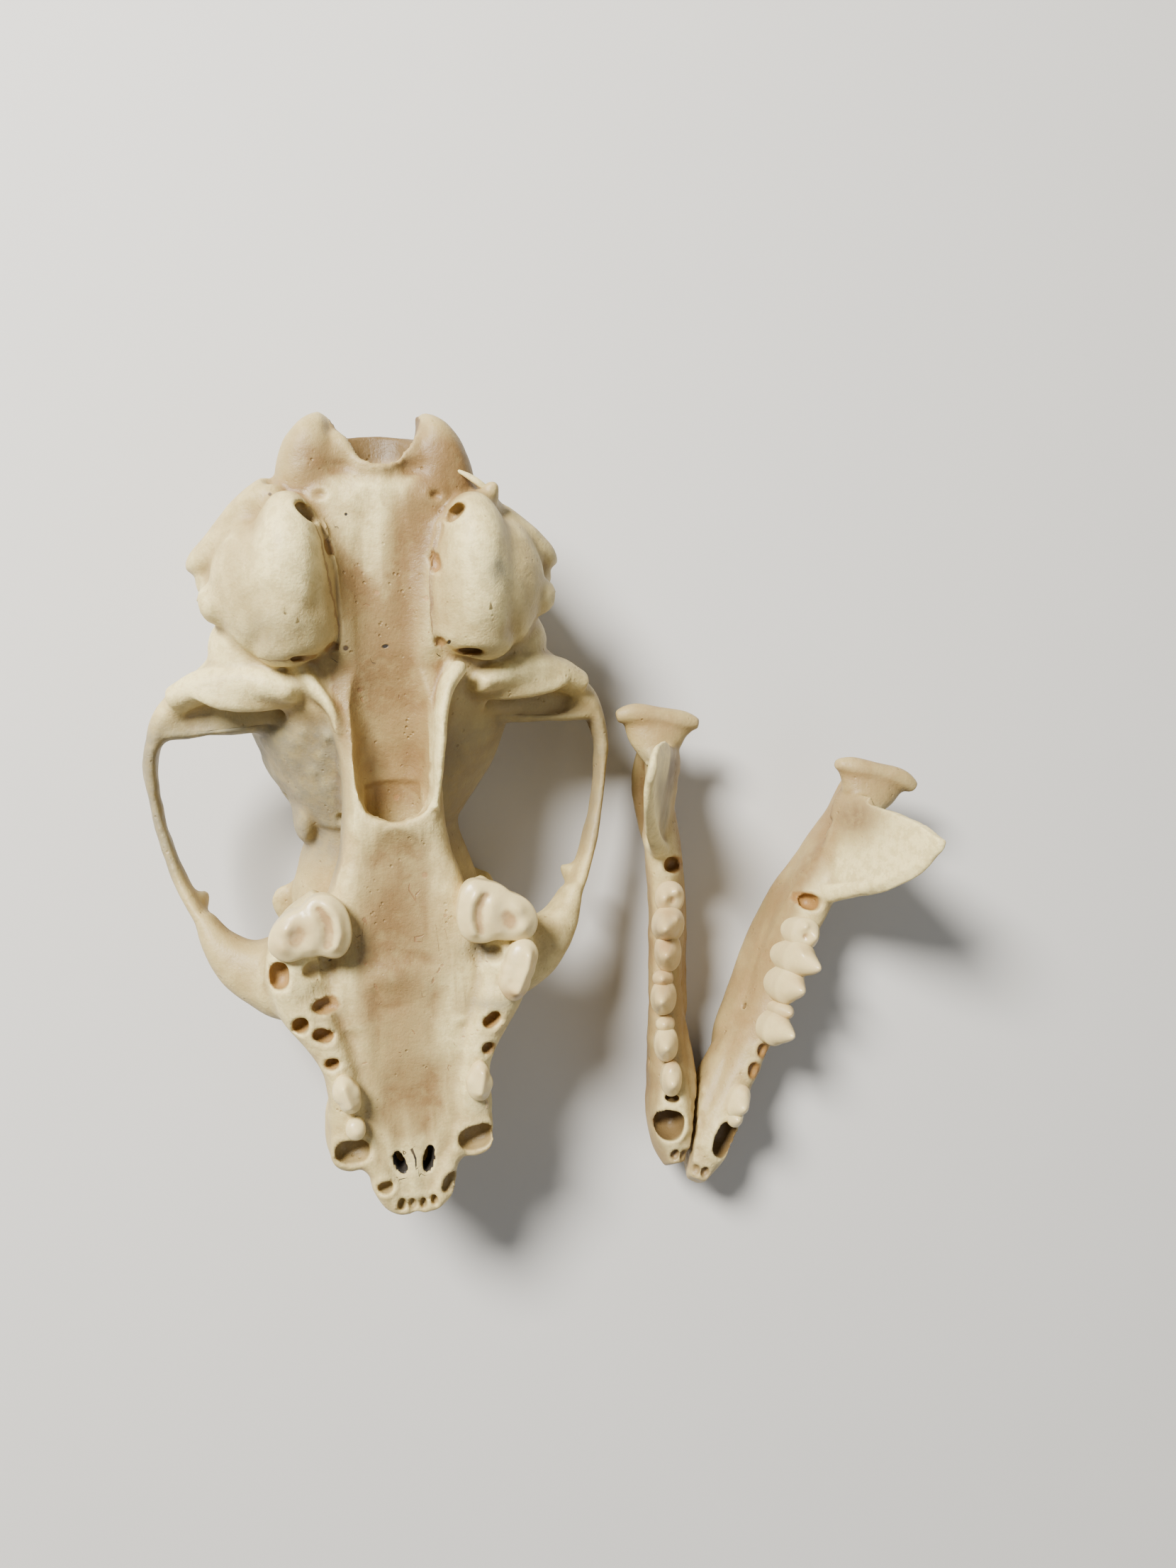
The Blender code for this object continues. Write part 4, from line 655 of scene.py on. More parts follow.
def folded(points):
    """The points with both sides of the skull laid on the +x side."""
    return np.column_stack([np.abs(points[:, 0]), points[:, 1:]])


def spots(points, masks, table):
    """The sum of soft spots: each row is an amount, a middle x, y, z and a reach x, y, z, and adds the amount times
    the bell of the distance, as far as the mask that its list is named after goes."""
    total = np.zeros(len(points))
    for mask, rows in table.items():
        for amount, *place in rows:
            total += amount * masks[mask] * near(points, place[:3], place[3:])
    return total


def beside(points, line):
    """The shortest distance from each point to a broken line, in as many axes as the line has."""
    line = np.array(line, float)
    points = points[:, :line.shape[1]]
    best = np.full(len(points), 1e9)
    for a, b in zip(line[:-1], line[1:]):
        along = b - a
        t = np.clip(((points - a) @ along) / (along @ along), 0.0, 1.0)
        best = np.minimum(best, np.linalg.norm(points - a - t[:, None] * along, axis=1))
    return best


def uneven(points, size, seed=0.0):
    """Smooth noise from -1 to 1: a random value at each corner of a lattice of that size, eased between them."""
    place = points / size + seed + 100.0
    corner = np.floor(place)
    f = place - corner
    f = f * f * (3 - 2 * f)
    total = np.zeros(len(points))
    for step in ((0, 0, 0), (1, 0, 0), (0, 1, 0), (1, 1, 0), (0, 0, 1), (1, 0, 1), (0, 1, 1), (1, 1, 1)):
        at = corner + np.array(step)
        value = np.sin(at @ np.array([127.1, 311.7, 74.7])) * 43758.5453
        value = 2 * (value - np.floor(value)) - 1
        total += value * np.where(np.array(step), f, 1 - f).prod(1)
    return total


# Holes of the cranium: x, y, half-sizes, depth, floor, turn, slide back with depth
BROWN_SOCKETS = [
    (-7.5, 17.25, 0.74, 0.66, 1.2, -0.4, 0, 0.0), (-8.25, 20.2, 1.05, 0.72, 1.3, -0.4, -22, 0.0),
    (7.9, 17.1, 0.68, 0.68, 1.2, -0.4, 0, 0.0), (8.4, 20.0, 1.1, 0.76, 1.4, -0.4, 38, 0.0),
    (-10.3, 21.4, 0.82, 0.88, 1.2, -0.9, 0, 0.0), (-7.8, 23.05, 1.35, 0.78, 1.3, -0.4, 0, 0.0),
    (-12.0, 26.4, 0.95, 1.4, 1.5, -0.8, 0, 0.0),
]
OLIVE_SOCKETS = [
    (-1.42, 1.75, 0.42, 0.6, 0.8, -0.9, 0, 0.0), (-0.36, 1.65, 0.42, 0.62, 0.8, -0.9, 0, 0.0),
    (0.72, 1.6, 0.42, 0.62, 0.8, -0.9, 0, 0.0), (1.85, 1.85, 0.44, 0.64, 0.8, -0.9, 0, 0.0),
    (-3.0, 3.85, 0.8, 0.66, 0.9, -0.8, 0, 0.0), (3.4, 3.4, 0.72, 1.2, 1.0, -0.8, -25, 0.0),
    (-6.0, 8.0, 1.75, 1.35, 1.8, -0.6, -6, 0.0), (6.35, 7.85, 1.85, 1.4, 1.8, -0.6, 18, 0.0),
    (-7.0, 70.15, 1.3, 0.62, 0.55, -1.8, -42, 0.0), (6.9, 70.0, 1.1, 0.6, 0.6, -1.8, 46, 0.0),
    (-5.6, 72.0, 0.62, 0.42, 0.7, -2.6, 0, 0.0), (5.4, 71.9, 0.62, 0.5, 0.7, -2.6, 0, 0.0),
]
# Incisive slots: the black painted inside them is painted shade.
SLOTS = [(-1.4, 6.13, 0.52, 1.25, 4.5, -0.5, 21, 0.1), (1.45, 6.15, 0.5, 1.35, 4.5, -0.5, -13, 0.1)]
FORAMINA = [
    (-5.3, 57.5, 0.6, 0.45, 1.2, -1.6, 30, 0.1), (5.2, 57.7, 0.5, 0.4, 1.6, -1.6, -20, 0.1),
    (-8.2, 56.7, 1.5, 0.3, 1.4, -1.8, 4, 0.2), (7.9, 56.8, 1.4, 0.42, 1.8, -1.8, -4, 0.2),
    (5.0, 65.4, 0.34, 1.0, 1.0, -1.6, 8, 0.0), (-5.2, 67.0, 0.3, 0.7, 0.8, -1.6, 14, 0.0),
]
PITS = [*BROWN_SOCKETS, *OLIVE_SOCKETS, *SLOTS, *FORAMINA]
# Pinholes too fine for the skin, as colour only, their dark spots painted shade of the holes: x, y, half-sizes, turn,
# share of brown
PINS = [
    (-1.4, 6.13, 0.44, 1.15, 21, 0.0), (1.45, 6.15, 0.42, 1.25, -13, 0.0),
    (-3.27, 70.1, 0.16, 0.16, 0, 0.0), (-3.93, 57.55, 0.28, 0.28, 0, 0.15), (-0.1, 57.54, 0.36, 0.2, 14, 0.0),
    (-2.94, 24.2, 0.15, 0.42, 24, 0.7), (2.9, 24.25, 0.13, 0.4, -18, 0.7), (-10.15, 72.05, 0.17, 0.17, 0, 0.1),
    (5.9, 57.8, 0.16, 0.22, 0, 0.0), (1.66, 52.7, 0.1, 0.1, 0, 0.6), (4.1, 58.8, 0.11, 0.11, 0, 0.7),
    (4.0, 62.05, 0.34, 0.28, 0, 1.0), (-0.7, 62.7, 0.26, 0.24, 0, 1.0), (-2.73, 53.36, 0.27, 0.25, 0, 0.6),
    (-2.48, 52.3, 0.12, 0.2, 20, 0.9), (1.72, 46.8, 0.09, 0.09, 0, 0.6), (1.2, 45.6, 0.1, 0.1, 0, 0.5),
    (4.9, 44.2, 0.3, 0.28, 0, 1.0), (0.57, 42.3, 0.36, 0.34, 0, 1.0), (-2.0, 45.2, 0.12, 0.1, 0, 0.8),
    (-3.68, 31.1, 0.24, 0.17, 30, 0.6), (-2.92, 31.0, 0.15, 0.12, 0, 0.7), (2.54, 35.0, 0.34, 0.32, 0, 0.9),
    (4.37, 30.8, 0.22, 0.2, 0, 0.9), (4.31, 28.0, 0.13, 0.13, 0, 0.8), (3.9, 25.8, 0.16, 0.14, 0, 0.8),
    (-7.27, 27.2, 0.17, 0.1, 30, 0.2), (-3.75, 26.6, 0.17, 0.13, 30, 0.8), (-8.25, 25.75, 0.1, 0.1, 0, 0.4),
    (5.57, 18.3, 0.17, 0.12, 0, 0.8), (-0.57, 17.3, 0.08, 0.08, 0, 0.7), (-4.38, 16.7, 0.3, 0.1, 12, 1.0),
    (0.77, 19.2, 0.1, 0.1, 0, 0.8), (4.23, 15.3, 0.1, 0.1, 0, 0.8), (3.26, 14.95, 0.14, 0.09, 0, 0.9),
    (-0.88, 7.4, 0.16, 0.13, 30, 0.2), (0.1, 7.5, 0.17, 0.2, 0, 0.1), (-3.0, 28.6, 0.1, 0.1, 0, 0.7),
    (6.9, 19.1, 0.1, 0.1, 0, 0.8), (8.1, 25.9, 0.14, 0.1, 0, 0.5), (2.2, 28.9, 0.1, 0.12, 0, 0.9),
]
# Hair lines: places in turn, half-width, share of pale
LINES = [
    ([(-6.63, 69.6), (-5.86, 67.7), (-5.36, 65.0), (-5.04, 62.6), (-4.88, 60.2), (-4.9, 58.3)], 0.07, 0.0),
    ([(5.59, 69.0), (5.01, 66.3), (4.64, 64.8), (4.62, 62.4), (4.67, 60.0), (4.71, 58.3)], 0.07, 0.0),
    ([(-12.4, 56.9), (-11.0, 56.55), (-10.0, 56.6), (-9.1, 56.7)], 0.06, 0.0),
    ([(6.2, 15.0), (6.7, 15.3), (7.15, 16.0)], 0.05, 0.0),
]
# Outlines of a pale and a stained patch, seen from above
WHITE_WEDGE = [(-4.6, 73.5), (2.5, 73.5), (4.2, 74.4), (1.2, 70.9), (0.0, 67.2), (-0.1, 63.0), (-1.7, 64.6),
               (-4.8, 68.7), (-5.4, 71.7)]
FRONT_PATCH = [(-3.9, 11.4), (-1.6, 13.0), (0.0, 13.5), (1.8, 12.9), (3.4, 11.6), (2.6, 9.4), (0.6, 8.6), (-1.8, 8.8)]
# Middle lines of the thin plate's root and of the splinter: x, y, z, half-sizes
PLATE_ROOT = [(-4.9, 49.4, -3.2, 0.5, 0.9), (-5.5, 51.4, -3.1, 0.6, 1.3), (-7.0, 53.6, -3.8, 0.75, 1.5),
              (-8.8, 55.8, -4.8, 0.9, 1.6)]
SPLINTER = [(7.6, 74.3, -3.6, 0.16, 0.16), (8.8, 73.6, -3.2, 0.32, 0.3), (10.0, 72.7, -3.0, 0.34, 0.3),
            (11.0, 71.8, -3.6, 0.22, 0.22)]
# Rolled sheets of the nose: side, middle height, size, turns, from and to along the nose
SCROLLS = [(-1, -5.6, 1.1, 1.4, 1.8, 6.6), (1, -5.6, 1.1, 1.4, 1.8, 6.6), (-1, -8.1, 1.0, 1.2, 3.0, 7.4),
           (1, -8.1, 1.0, 1.2, 3.0, 7.4), (0, -7.0, 2.8, 0.0, 2.4, 7.6)]


def within(points, outline, soft=0.3):
    """1 inside a closed outline and 0 outside, eased over its edge: the distance to the edge, signed by how often
    a line from the point crosses it."""
    outline = np.array(outline + outline[:1], float)
    inside = np.zeros(len(points), bool)
    for a, b in zip(outline[:-1], outline[1:]):
        spans = (a[1] > points[:, 1]) != (b[1] > points[:, 1])
        rise = b[1] - a[1] if b[1] != a[1] else 1e-9
        inside ^= spans & (points[:, 0] < (b[0] - a[0]) * (points[:, 1] - a[1]) / rise + a[0])
    away = beside(points, outline)
    return eased(np.where(inside, away, -away), -soft, soft)


def rolled(name, side, height, size, turns, start, end, steps=36, along=8, thick=0.09):
    """A thin sheet of the nose, rolled up as a spiral whose radius falls with its angle, or flat where it has no
    turns, drawn along the nose with a soft wave."""
    t = np.linspace(0.0, 1.0, steps)
    angle = turns * 2 * math.pi * t + 0.6
    radius = size * (1 - 0.75 * t)
    if turns:
        x, z = side * (1.5 + radius * np.cos(angle)), height + radius * np.sin(angle)
    else:
        x, z = 0.12 * np.sin(6 * t), height + size * (t - 0.5) * 1.6
    line = np.stack([x, z], 1)
    edge = np.gradient(line, axis=0)
    edge = np.stack([-edge[:, 1], edge[:, 0]], 1) / np.linalg.norm(edge, axis=1)[:, None] * thick
    outline = np.concatenate([line + edge, (line - edge)[::-1]])
    count = len(outline)
    y = np.linspace(start, end, along)[:, None]
    wave, sink = 0.1 * np.sin(y * 2.1), 0.35 * (y - start)
    rings = np.stack([outline[None, :, 0] + wave, np.repeat(y, count, 1), outline[None, :, 1] - sink], -1)
    near_end = [[n, n + 1, count - 2 - n, count - 1 - n] for n in range(steps - 1)]
    far_end = [[v + (along - 1) * count for v in row] for row in near_end]
    quads = ring_quads(along, count).tolist() + [row[::-1] for row in near_end] + far_end
    return made(name, rings.reshape(-1, 3), quads)


def ground(obj, rounds):
    """The mesh's points, each drawn halfway to the middle of its neighbours, so many times over."""
    edges = np.empty(len(obj.data.edges) * 2, np.int32)
    obj.data.edges.foreach_get("vertices", edges)
    a, b = edges[::2], edges[1::2]
    points, size = positions(obj), len(obj.data.vertices)
    near_by = np.bincount(a, minlength=size) + np.bincount(b, minlength=size)
    for _ in range(rounds):
        total = [np.bincount(a, points[b, k], size) + np.bincount(b, points[a, k], size) for k in range(3)]
        points = 0.5 * points + 0.5 * np.stack(total, 1) / near_by[:, None]
    return points


def sunken(obj, rounds):
    """How far each point lies below the ground around it, along its facing."""
    return ((ground(obj, rounds) - positions(obj)) * facings(obj)).sum(1)


def drillings():
    """The holes that open on the cranium's sides, front and back."""
    found = []
    for s in (-1, 1):
        found += [
            drilled("ear", (s * 19.6, 61.6, -6.4), (s * 12.6, 62.6, -5.8), 1.55, 1.0),
            drilled("under_eye", (s * 15.8, 14.6, -6.6), (s * 9.2, 22.6, -7.4), 1.5, 1.3),
            drilled("optic", (s * 11.0, 36.5, -9.0), (s * 3.0, 41.0, -9.0), 0.8, 0.6),
            drilled("orbit_slit", (s * 15.0, 39.5, -15.5), (s * 7.0, 43.5, -15.0), 0.8, 0.6),
            drilled("round_hole", (s * 18.0, 45.0, -15.5), (s * 9.0, 48.0, -15.0), 0.6, 0.5),
            drilled("palatine", (s * 10.0, 33.0, -6.0), (s * 4.0, 31.0, -5.0), 0.7, 0.5),
            drilled("tear_duct", (s * 12.6, 25.6, -10.4), (s * 8.0, 21.0, -9.8), 0.55, 0.5),
        ]
    return found


def hole_shares(dx, dy, half_x, half_y, turn):
    """Distances from the middle of a turned hole as shares of its half-sizes."""
    u, v = turned(dx, dy, -turn)
    return u / half_x, v / half_y


def socket_share(points, holes):
    """How deep in a hole each point lies: 1 inside its outline, eased over its edge, times its depth share."""
    deep = np.zeros(len(points))
    for x, y, half_x, half_y, depth, floor, turn, back in holes:
        down = np.maximum(floor - points[:, 2], 0.0)
        u, v = hole_shares(points[:, 0] - x, points[:, 1] - y - back * down, half_x + 0.15, half_y + 0.15, turn)
        inside = (1 - eased(u * u + v * v, 0.8, 1.1)) * (points[:, 2] > floor - depth - 0.4)
        deep = np.maximum(deep, inside * eased(np.clip(down / (0.3 * depth), 0.0, 1.0), 0.0, 0.8))
    return deep


def rims(points, facing, holes, height, width=0.35):
    """A low raised rim round each hole: the bell of the distance from its edge, on what faces up."""
    lift = np.zeros(len(points))
    for x, y, half_x, half_y, _, floor, turn, _ in holes:
        u, v = hole_shares(points[:, 0] - x, points[:, 1] - y, half_x, half_y, turn)
        away = (np.hypot(u, v) - 1.0) * 0.5 * (half_x + half_y)
        lift = np.maximum(lift, bell(away - 0.3, width) * (points[:, 2] > floor - 1.6))
    return height * lift * np.clip(facing[:, 2], 0.0, 1.0)


# Half-width of the palate's hollow at places along it
PALATE_HOLLOW = [6, 12, 20, 27, 31, 35, 40], [2.2, 3.8, 4.9, 5.8, 5.0, 4.4, 3.4]
# Lines of the cranium's relief and colour, as x and y of their corners
PALATE_GROOVES = ([(-2.9, 23.6), (-3.0, 20.0), (-3.1, 17.0)], [(2.9, 23.6), (2.5, 21.0), (2.3, 17.5)])
PALATE_RIM = [(-4.1, 40.9), (-3.5, 39.9), (-2.2, 39.8), (-1, 40.3), (-0.25, 40.8), (0.5, 40.5), (1.2, 40.1),
              (2.8, 40.5), (3.6, 41.5)]
NOTCH_RIM = [(-3.4, 77.6), (-2.2, 76.2), (-0.9, 75.3), (0.3, 75.0), (1.2, 75.2), (2.4, 76.2), (3.4, 77.4)]
BASE_SIDE = [(4.2, 57.5), (4.3, 61.0), (4.8, 65.0), (5.6, 68.6)]
CAPSULE_SIDE = [(12.4, 70.8), (13.1, 67.5), (13.4, 63.7), (12.9, 61.0), (12.2, 58.6)]
CAPSULE_GROOVE = [(-13.0, 62.2), (-10.5, 63.0), (-7.2, 61.4)]
TEMPLE_LINE = [(10.6, 30.0), (7.0, 33.0), (3.6, 37.0), (1.0, 42.0)]
PALE_EDGE_RIGHT = [(-7.5, 54.3), (-5.8, 51.6), (-5.2, 48.9), (-4.4, 46.2), (-4.0, 43.5), (-4.2, 40.4)]
PALE_EDGE_LEFT = [(8.4, 54.9), (6.4, 53.1), (4.8, 50.9), (4.3, 48.6), (4.0, 44.8), (3.6, 42.2)]
# Knobs of the thin wall beside the palate's rear end: x, y, size. The last one isn't pale.
WALL_KNOBS = [(-8.4, 49.4, 0.8), (-5.9, 49.0, 0.7), (-6.7, 47.0, 0.8), (-6.1, 43.9, 0.7), (-7.4, 45.4, 0.7),
              (-8.8, 48.3, 0.6)]
# Hills and hollows of the cranium as soft spots in millimetres, once and on both sides
RELIEF = {"up": [
    (0.25, 0.0, 11.0, -0.9, 3.2, 2.6, 2.0), (0.2, 0.0, 4.6, -0.7, 0.5, 2.4, 1.6),
    (-0.3, 1.4, 9.0, -0.8, 0.5, 1.6, 2.0), (-0.3, -1.4, 9.0, -0.8, 0.5, 1.6, 2.0),
    (-0.4, 3.2, 74.6, -3.4, 1.6, 0.9, 2.0), (-0.25, -3.4, 74.8, -3.4, 1.6, 0.8, 2.0),
]}
RELIEF_PAIRS = {
    # between molar and fourth premolar
    "up": [(-0.3, 8.0, 26.6, -1.2, 2.0, 1.2, 2.0), (-0.35, 9.2, 23.9, -0.8, 1.5, 0.9, 2.0)],
    # roots of the canines, and the face of the snout in front of the eye
    "side": [(0.35, 7.6, 11.0, -6.0, 1.6, 2.6, 3.6)],
    "face": [(-0.7, 9.0, 20.5, -8.5, 2.6, 4.0, 2.6)],
    # hollows for the neck muscles, under the skull and on its back
    "base": [(-0.3, 2.9, 66.5, -2.8, 1.7, 5.0, 3.0)],
    "rear": [(-0.6, 5.6, 76.0, -16.0, 3.0, 3.0, 3.0)],
    "roof": [(-0.25, 0.0, 27.0, -20.0, 2.6, 6.0, 4.0)],
    # ear capsules and the bone behind the ears, and the lip ahead of the jaw joints
    "any": [
        (0.18, 7.4, 66.4, 2.0, 1.2, 3.6, 3.0), (-0.30, 11.2, 66.6, -1.0, 1.1, 2.6, 3.0),
        (0.28, 9.0, 61.0, 2.0, 1.8, 2.4, 3.0), (-0.22, 6.4, 62.4, 1.0, 0.8, 2.6, 2.6),
        (-0.7, 14.4, 64.0, -3.0, 1.6, 5.0, 3.5), (0.3, 8.8, 66.8, 2.0, 2.2, 2.6, 2.5),
        (0.15, 15.6, 69.0, -8.0, 1.2, 1.0, 3.0), (-0.35, 15.0, 66.9, -8.0, 1.3, 1.2, 3.0),
        (-0.3, 15.4, 62.8, -8.0, 1.2, 1.8, 3.0), (-0.7, 15.5, 49.8, -8.4, 5.0, 0.9, 2.0),
    ],
}


def cranium_relief(p, n):
    """How far the cranium's skin stands out or in along its facing, from named places and lines."""
    q = folded(p)
    x, y, low = p[:, 0], p[:, 1], -p[:, 2]
    up = eased(n[:, 2], 0.1, 0.6)
    base = up * (q[:, 0] < 6.0) * between(y, 56, 60, 72, 75)
    rear, roof = eased(n[:, 1], 0.3, 0.8), eased(-n[:, 2], 0.2, 0.7)
    masks = {"any": 1.0, "up": up, "base": base, "rear": rear, "roof": roof,
             "side": eased(np.abs(n[:, 0]), 0.3, 0.8), "face": eased(np.abs(n[:, 0]), 0.2, 0.7)}
    out = spots(p, masks, RELIEF) + spots(q, masks, RELIEF_PAIRS)
    # palate: hollow between the tooth rows, two grooves and a thickened rear edge
    on = up * between(y, 7, 13, 37, 41) * (low < 2.5)
    out -= 0.75 * on * np.exp(-((q[:, 0] / np.interp(y, *PALATE_HOLLOW)) ** 4))
    out += on * (0.10 * uneven(p, 2.6, 6.3) + 0.05 * uneven(p, 1.2, 8.3))
    for line in PALATE_GROOVES:
        out -= 0.10 * on * bell(beside(p, line), 0.5)
    out += 0.22 * up * bell(beside(p, PALATE_RIM) - 0.3, 0.5) * (low < 1.8)
    # base of the braincase: flat floor with a keel behind, its sides, and the notch's rim
    out += 0.3 * up * bell(beside(p, NOTCH_RIM) - 0.25, 0.45) * (low < 6.0)
    out += 0.22 * base * bell(x - 0.1, 0.7) * eased(y, 58, 63)
    out += 0.55 * up * bell(beside(q, BASE_SIDE), 0.9) * eased(low, 0.6, 1.8)
    # ear capsules: their edge, a groove across, a ring scar, and rough bone behind the ears
    out -= 0.25 * eased(n[:, 2], 0.0, 0.4) * bell(beside(q, CAPSULE_SIDE), 1.1) * (low < 9.0)
    out -= 0.2 * up * bell(beside(p, CAPSULE_GROOVE), 1.0) * (low < 4.0)
    out += 0.07 * up * bell(np.hypot((x + 11.1) / 0.62, (y - 58.5) / 0.5) - 1.0, 0.28)
    rough = eased(n[:, 2], 0.0, 0.5) * near(q, (15.5, 65.5, -8.0), (2.6, 5.5, 4.0))
    out += 0.14 * rough * uneven(p, 1.3, 4.4)
    # walls of the temple window: irregular thin bone on the right side of the animal
    for knob_x, knob_y, size in WALL_KNOBS:
        out += 0.3 * up * bell(np.hypot(x - knob_x, (y - knob_y) * 1.3), size) * eased(low, 1.5, 3.0)
    wall = eased(-x, 3.0, 6.0) * between(y, 36, 40, 51, 53) * eased(low, 2, 6)
    out += wall * (0.15 * uneven(p, 2.4, 3.3) + 0.07 * uneven(p, 1.1, 7.7))
    # back of the head: its middle ridge. Roof: the lines where the temple muscles began, and the nose's suture
    out += 0.3 * rear * bell(x, 0.8) * (low > 12.5)
    out += 0.22 * roof * bell(beside(q, TEMPLE_LINE), 0.7)
    out -= 0.10 * roof * bell(x, 0.18) * (1 - eased(y, 30, 36))
    return out


# Colour marks of the cranium as soft spots in shares, once and on both sides
MARKS = {
    "stain": {
        "any": [(1.7, 6.4, 74.6, -5.0, 3.2, 3.6, 4.2), (1.2, -5.9, 75.2, -4.5, 2.8, 2.6, 3.4),
                (0.8, -15.5, 28.0, -9.0, 4.0, 6.0, 4.0)],
        # the spot at x -5.6 is partly stain and partly painted shadow, the one the -x molar casts ahead of it
        "up": [(0.30, 0.3, 42.6, -5.0, 1.8, 2.6, 4.0), (0.85, 2.9, 68.0, -3.0, 2.2, 4.6, 3.0),
               (0.40, -3.4, 64.0, -3.0, 1.4, 3.6, 3.0), (0.35, -5.6, 27.2, -1.0, 3.6, 2.2, 2.4),
               (0.30, -7.0, 22.0, -1.0, 3.0, 2.2, 2.4), (0.20, -2.0, 30.5, -1.0, 3.0, 4.0, 2.0),
               (0.45, 0.2, 74.9, -4.0, 3.0, 0.9, 1.8)],
    },
    "chalk": {
        # the spots at x -15.5 and -16.5 are painted highlights: on the -x ear region, and on the -x jaw joint and the
        # root of its cheek arch
        "any": [(0.7, 5.2, 56.0, -3.0, 2.0, 3.4, 3.0), (0.6, 4.2, 63.0, -2.6, 0.5, 5.0, 1.6),
                (0.6, 8.0, 13.5, -1.0, 1.5, 3.0, 3.0), (0.75, -15.5, 62.0, -7.0, 4.5, 6.5, 7.0),
                (0.8, -16.5, 54.5, -6.0, 6.5, 3.0, 5.0), (0.45, 14.5, 63.0, -7.0, 3.5, 6.5, 7.0),
                (0.5, 16.0, 27.0, -9.0, 3.0, 5.0, 4.0)],
        "up": [(0.55, 4.6, 17.0, -1.0, 2.3, 6.5, 2.0), (0.5, 2.6, 36.5, -1.0, 2.2, 4.5, 2.0),
               (0.4, -3.4, 37.5, -1.0, 1.2, 3.4, 2.0), (0.35, 6.4, 30.8, -1.0, 1.2, 4.0, 2.0),
               (0.4, 8.0, 24.6, -0.6, 1.6, 1.4, 1.4), (0.4, 0.0, 4.0, -1.0, 4.0, 3.5, 3.0)],
    },
    "grey": {
        "any": [(0.35, -11.0, 59.5, -0.5, 2.4, 2.4, 3.0), (0.8, 8.6, 21.6, -1.0, 2.2, 0.7, 2.0),
                (0.5, 7.0, 11.6, -2.0, 1.4, 1.0, 3.0), (0.9, 8.0, 27.0, -1.4, 1.9, 1.0, 1.8)],
        "level": [(1.3, 10.42, 64.5, -1.0, 0.95, 1.25, 5.5)],
    },
    "warm": {"up": [(0.5, -1.0, 60.0, -3.0, 4.0, 6.0, 4.0)]},
}
MARK_PAIRS = {
    "stain": {
        "any": [(0.50, 16.8, 66.2, -8.0, 0.7, 1.6, 2.0), (0.35, 8.0, 72.4, -4.0, 2.4, 1.2, 2.4),
                (0.25, 13.5, 64.8, -6.0, 2.0, 2.6, 4.0)],
        "up": [(0.45, 7.8, 56.4, -3.0, 2.2, 0.7, 2.4)],
        "deep": [(0.30, 10.0, 52.6, -5.0, 2.0, 2.0, 3.0)],
    },
    "chalk": {"any": [(0.6, 15.5, 49.3, -8.0, 5.0, 1.0, 2.0), (0.75, 14.0, 54.6, -3.8, 5.5, 1.8, 2.4),
                      (0.4, 10.5, 27.0, -1.0, 4.0, 6.0, 3.0)]},
    # grey here is painted shade: in the gutter under the overhang of each jaw joint, and on the faces ahead of it that
    # turn to the front, away from the light
    "grey": {"any": [(0.3, 15.5, 51.2, -8.6, 4.0, 0.8, 1.8)],
             "front": [(0.25, 14.0, 48.6, -12.0, 6.0, 2.0, 3.0)]},
    "warm": {"any": [(0.4, 12.0, 57.5, -6.0, 4.0, 3.0, 3.0), (0.4, 16.5, 62.0, -8.0, 3.0, 4.0, 4.0)]},
}


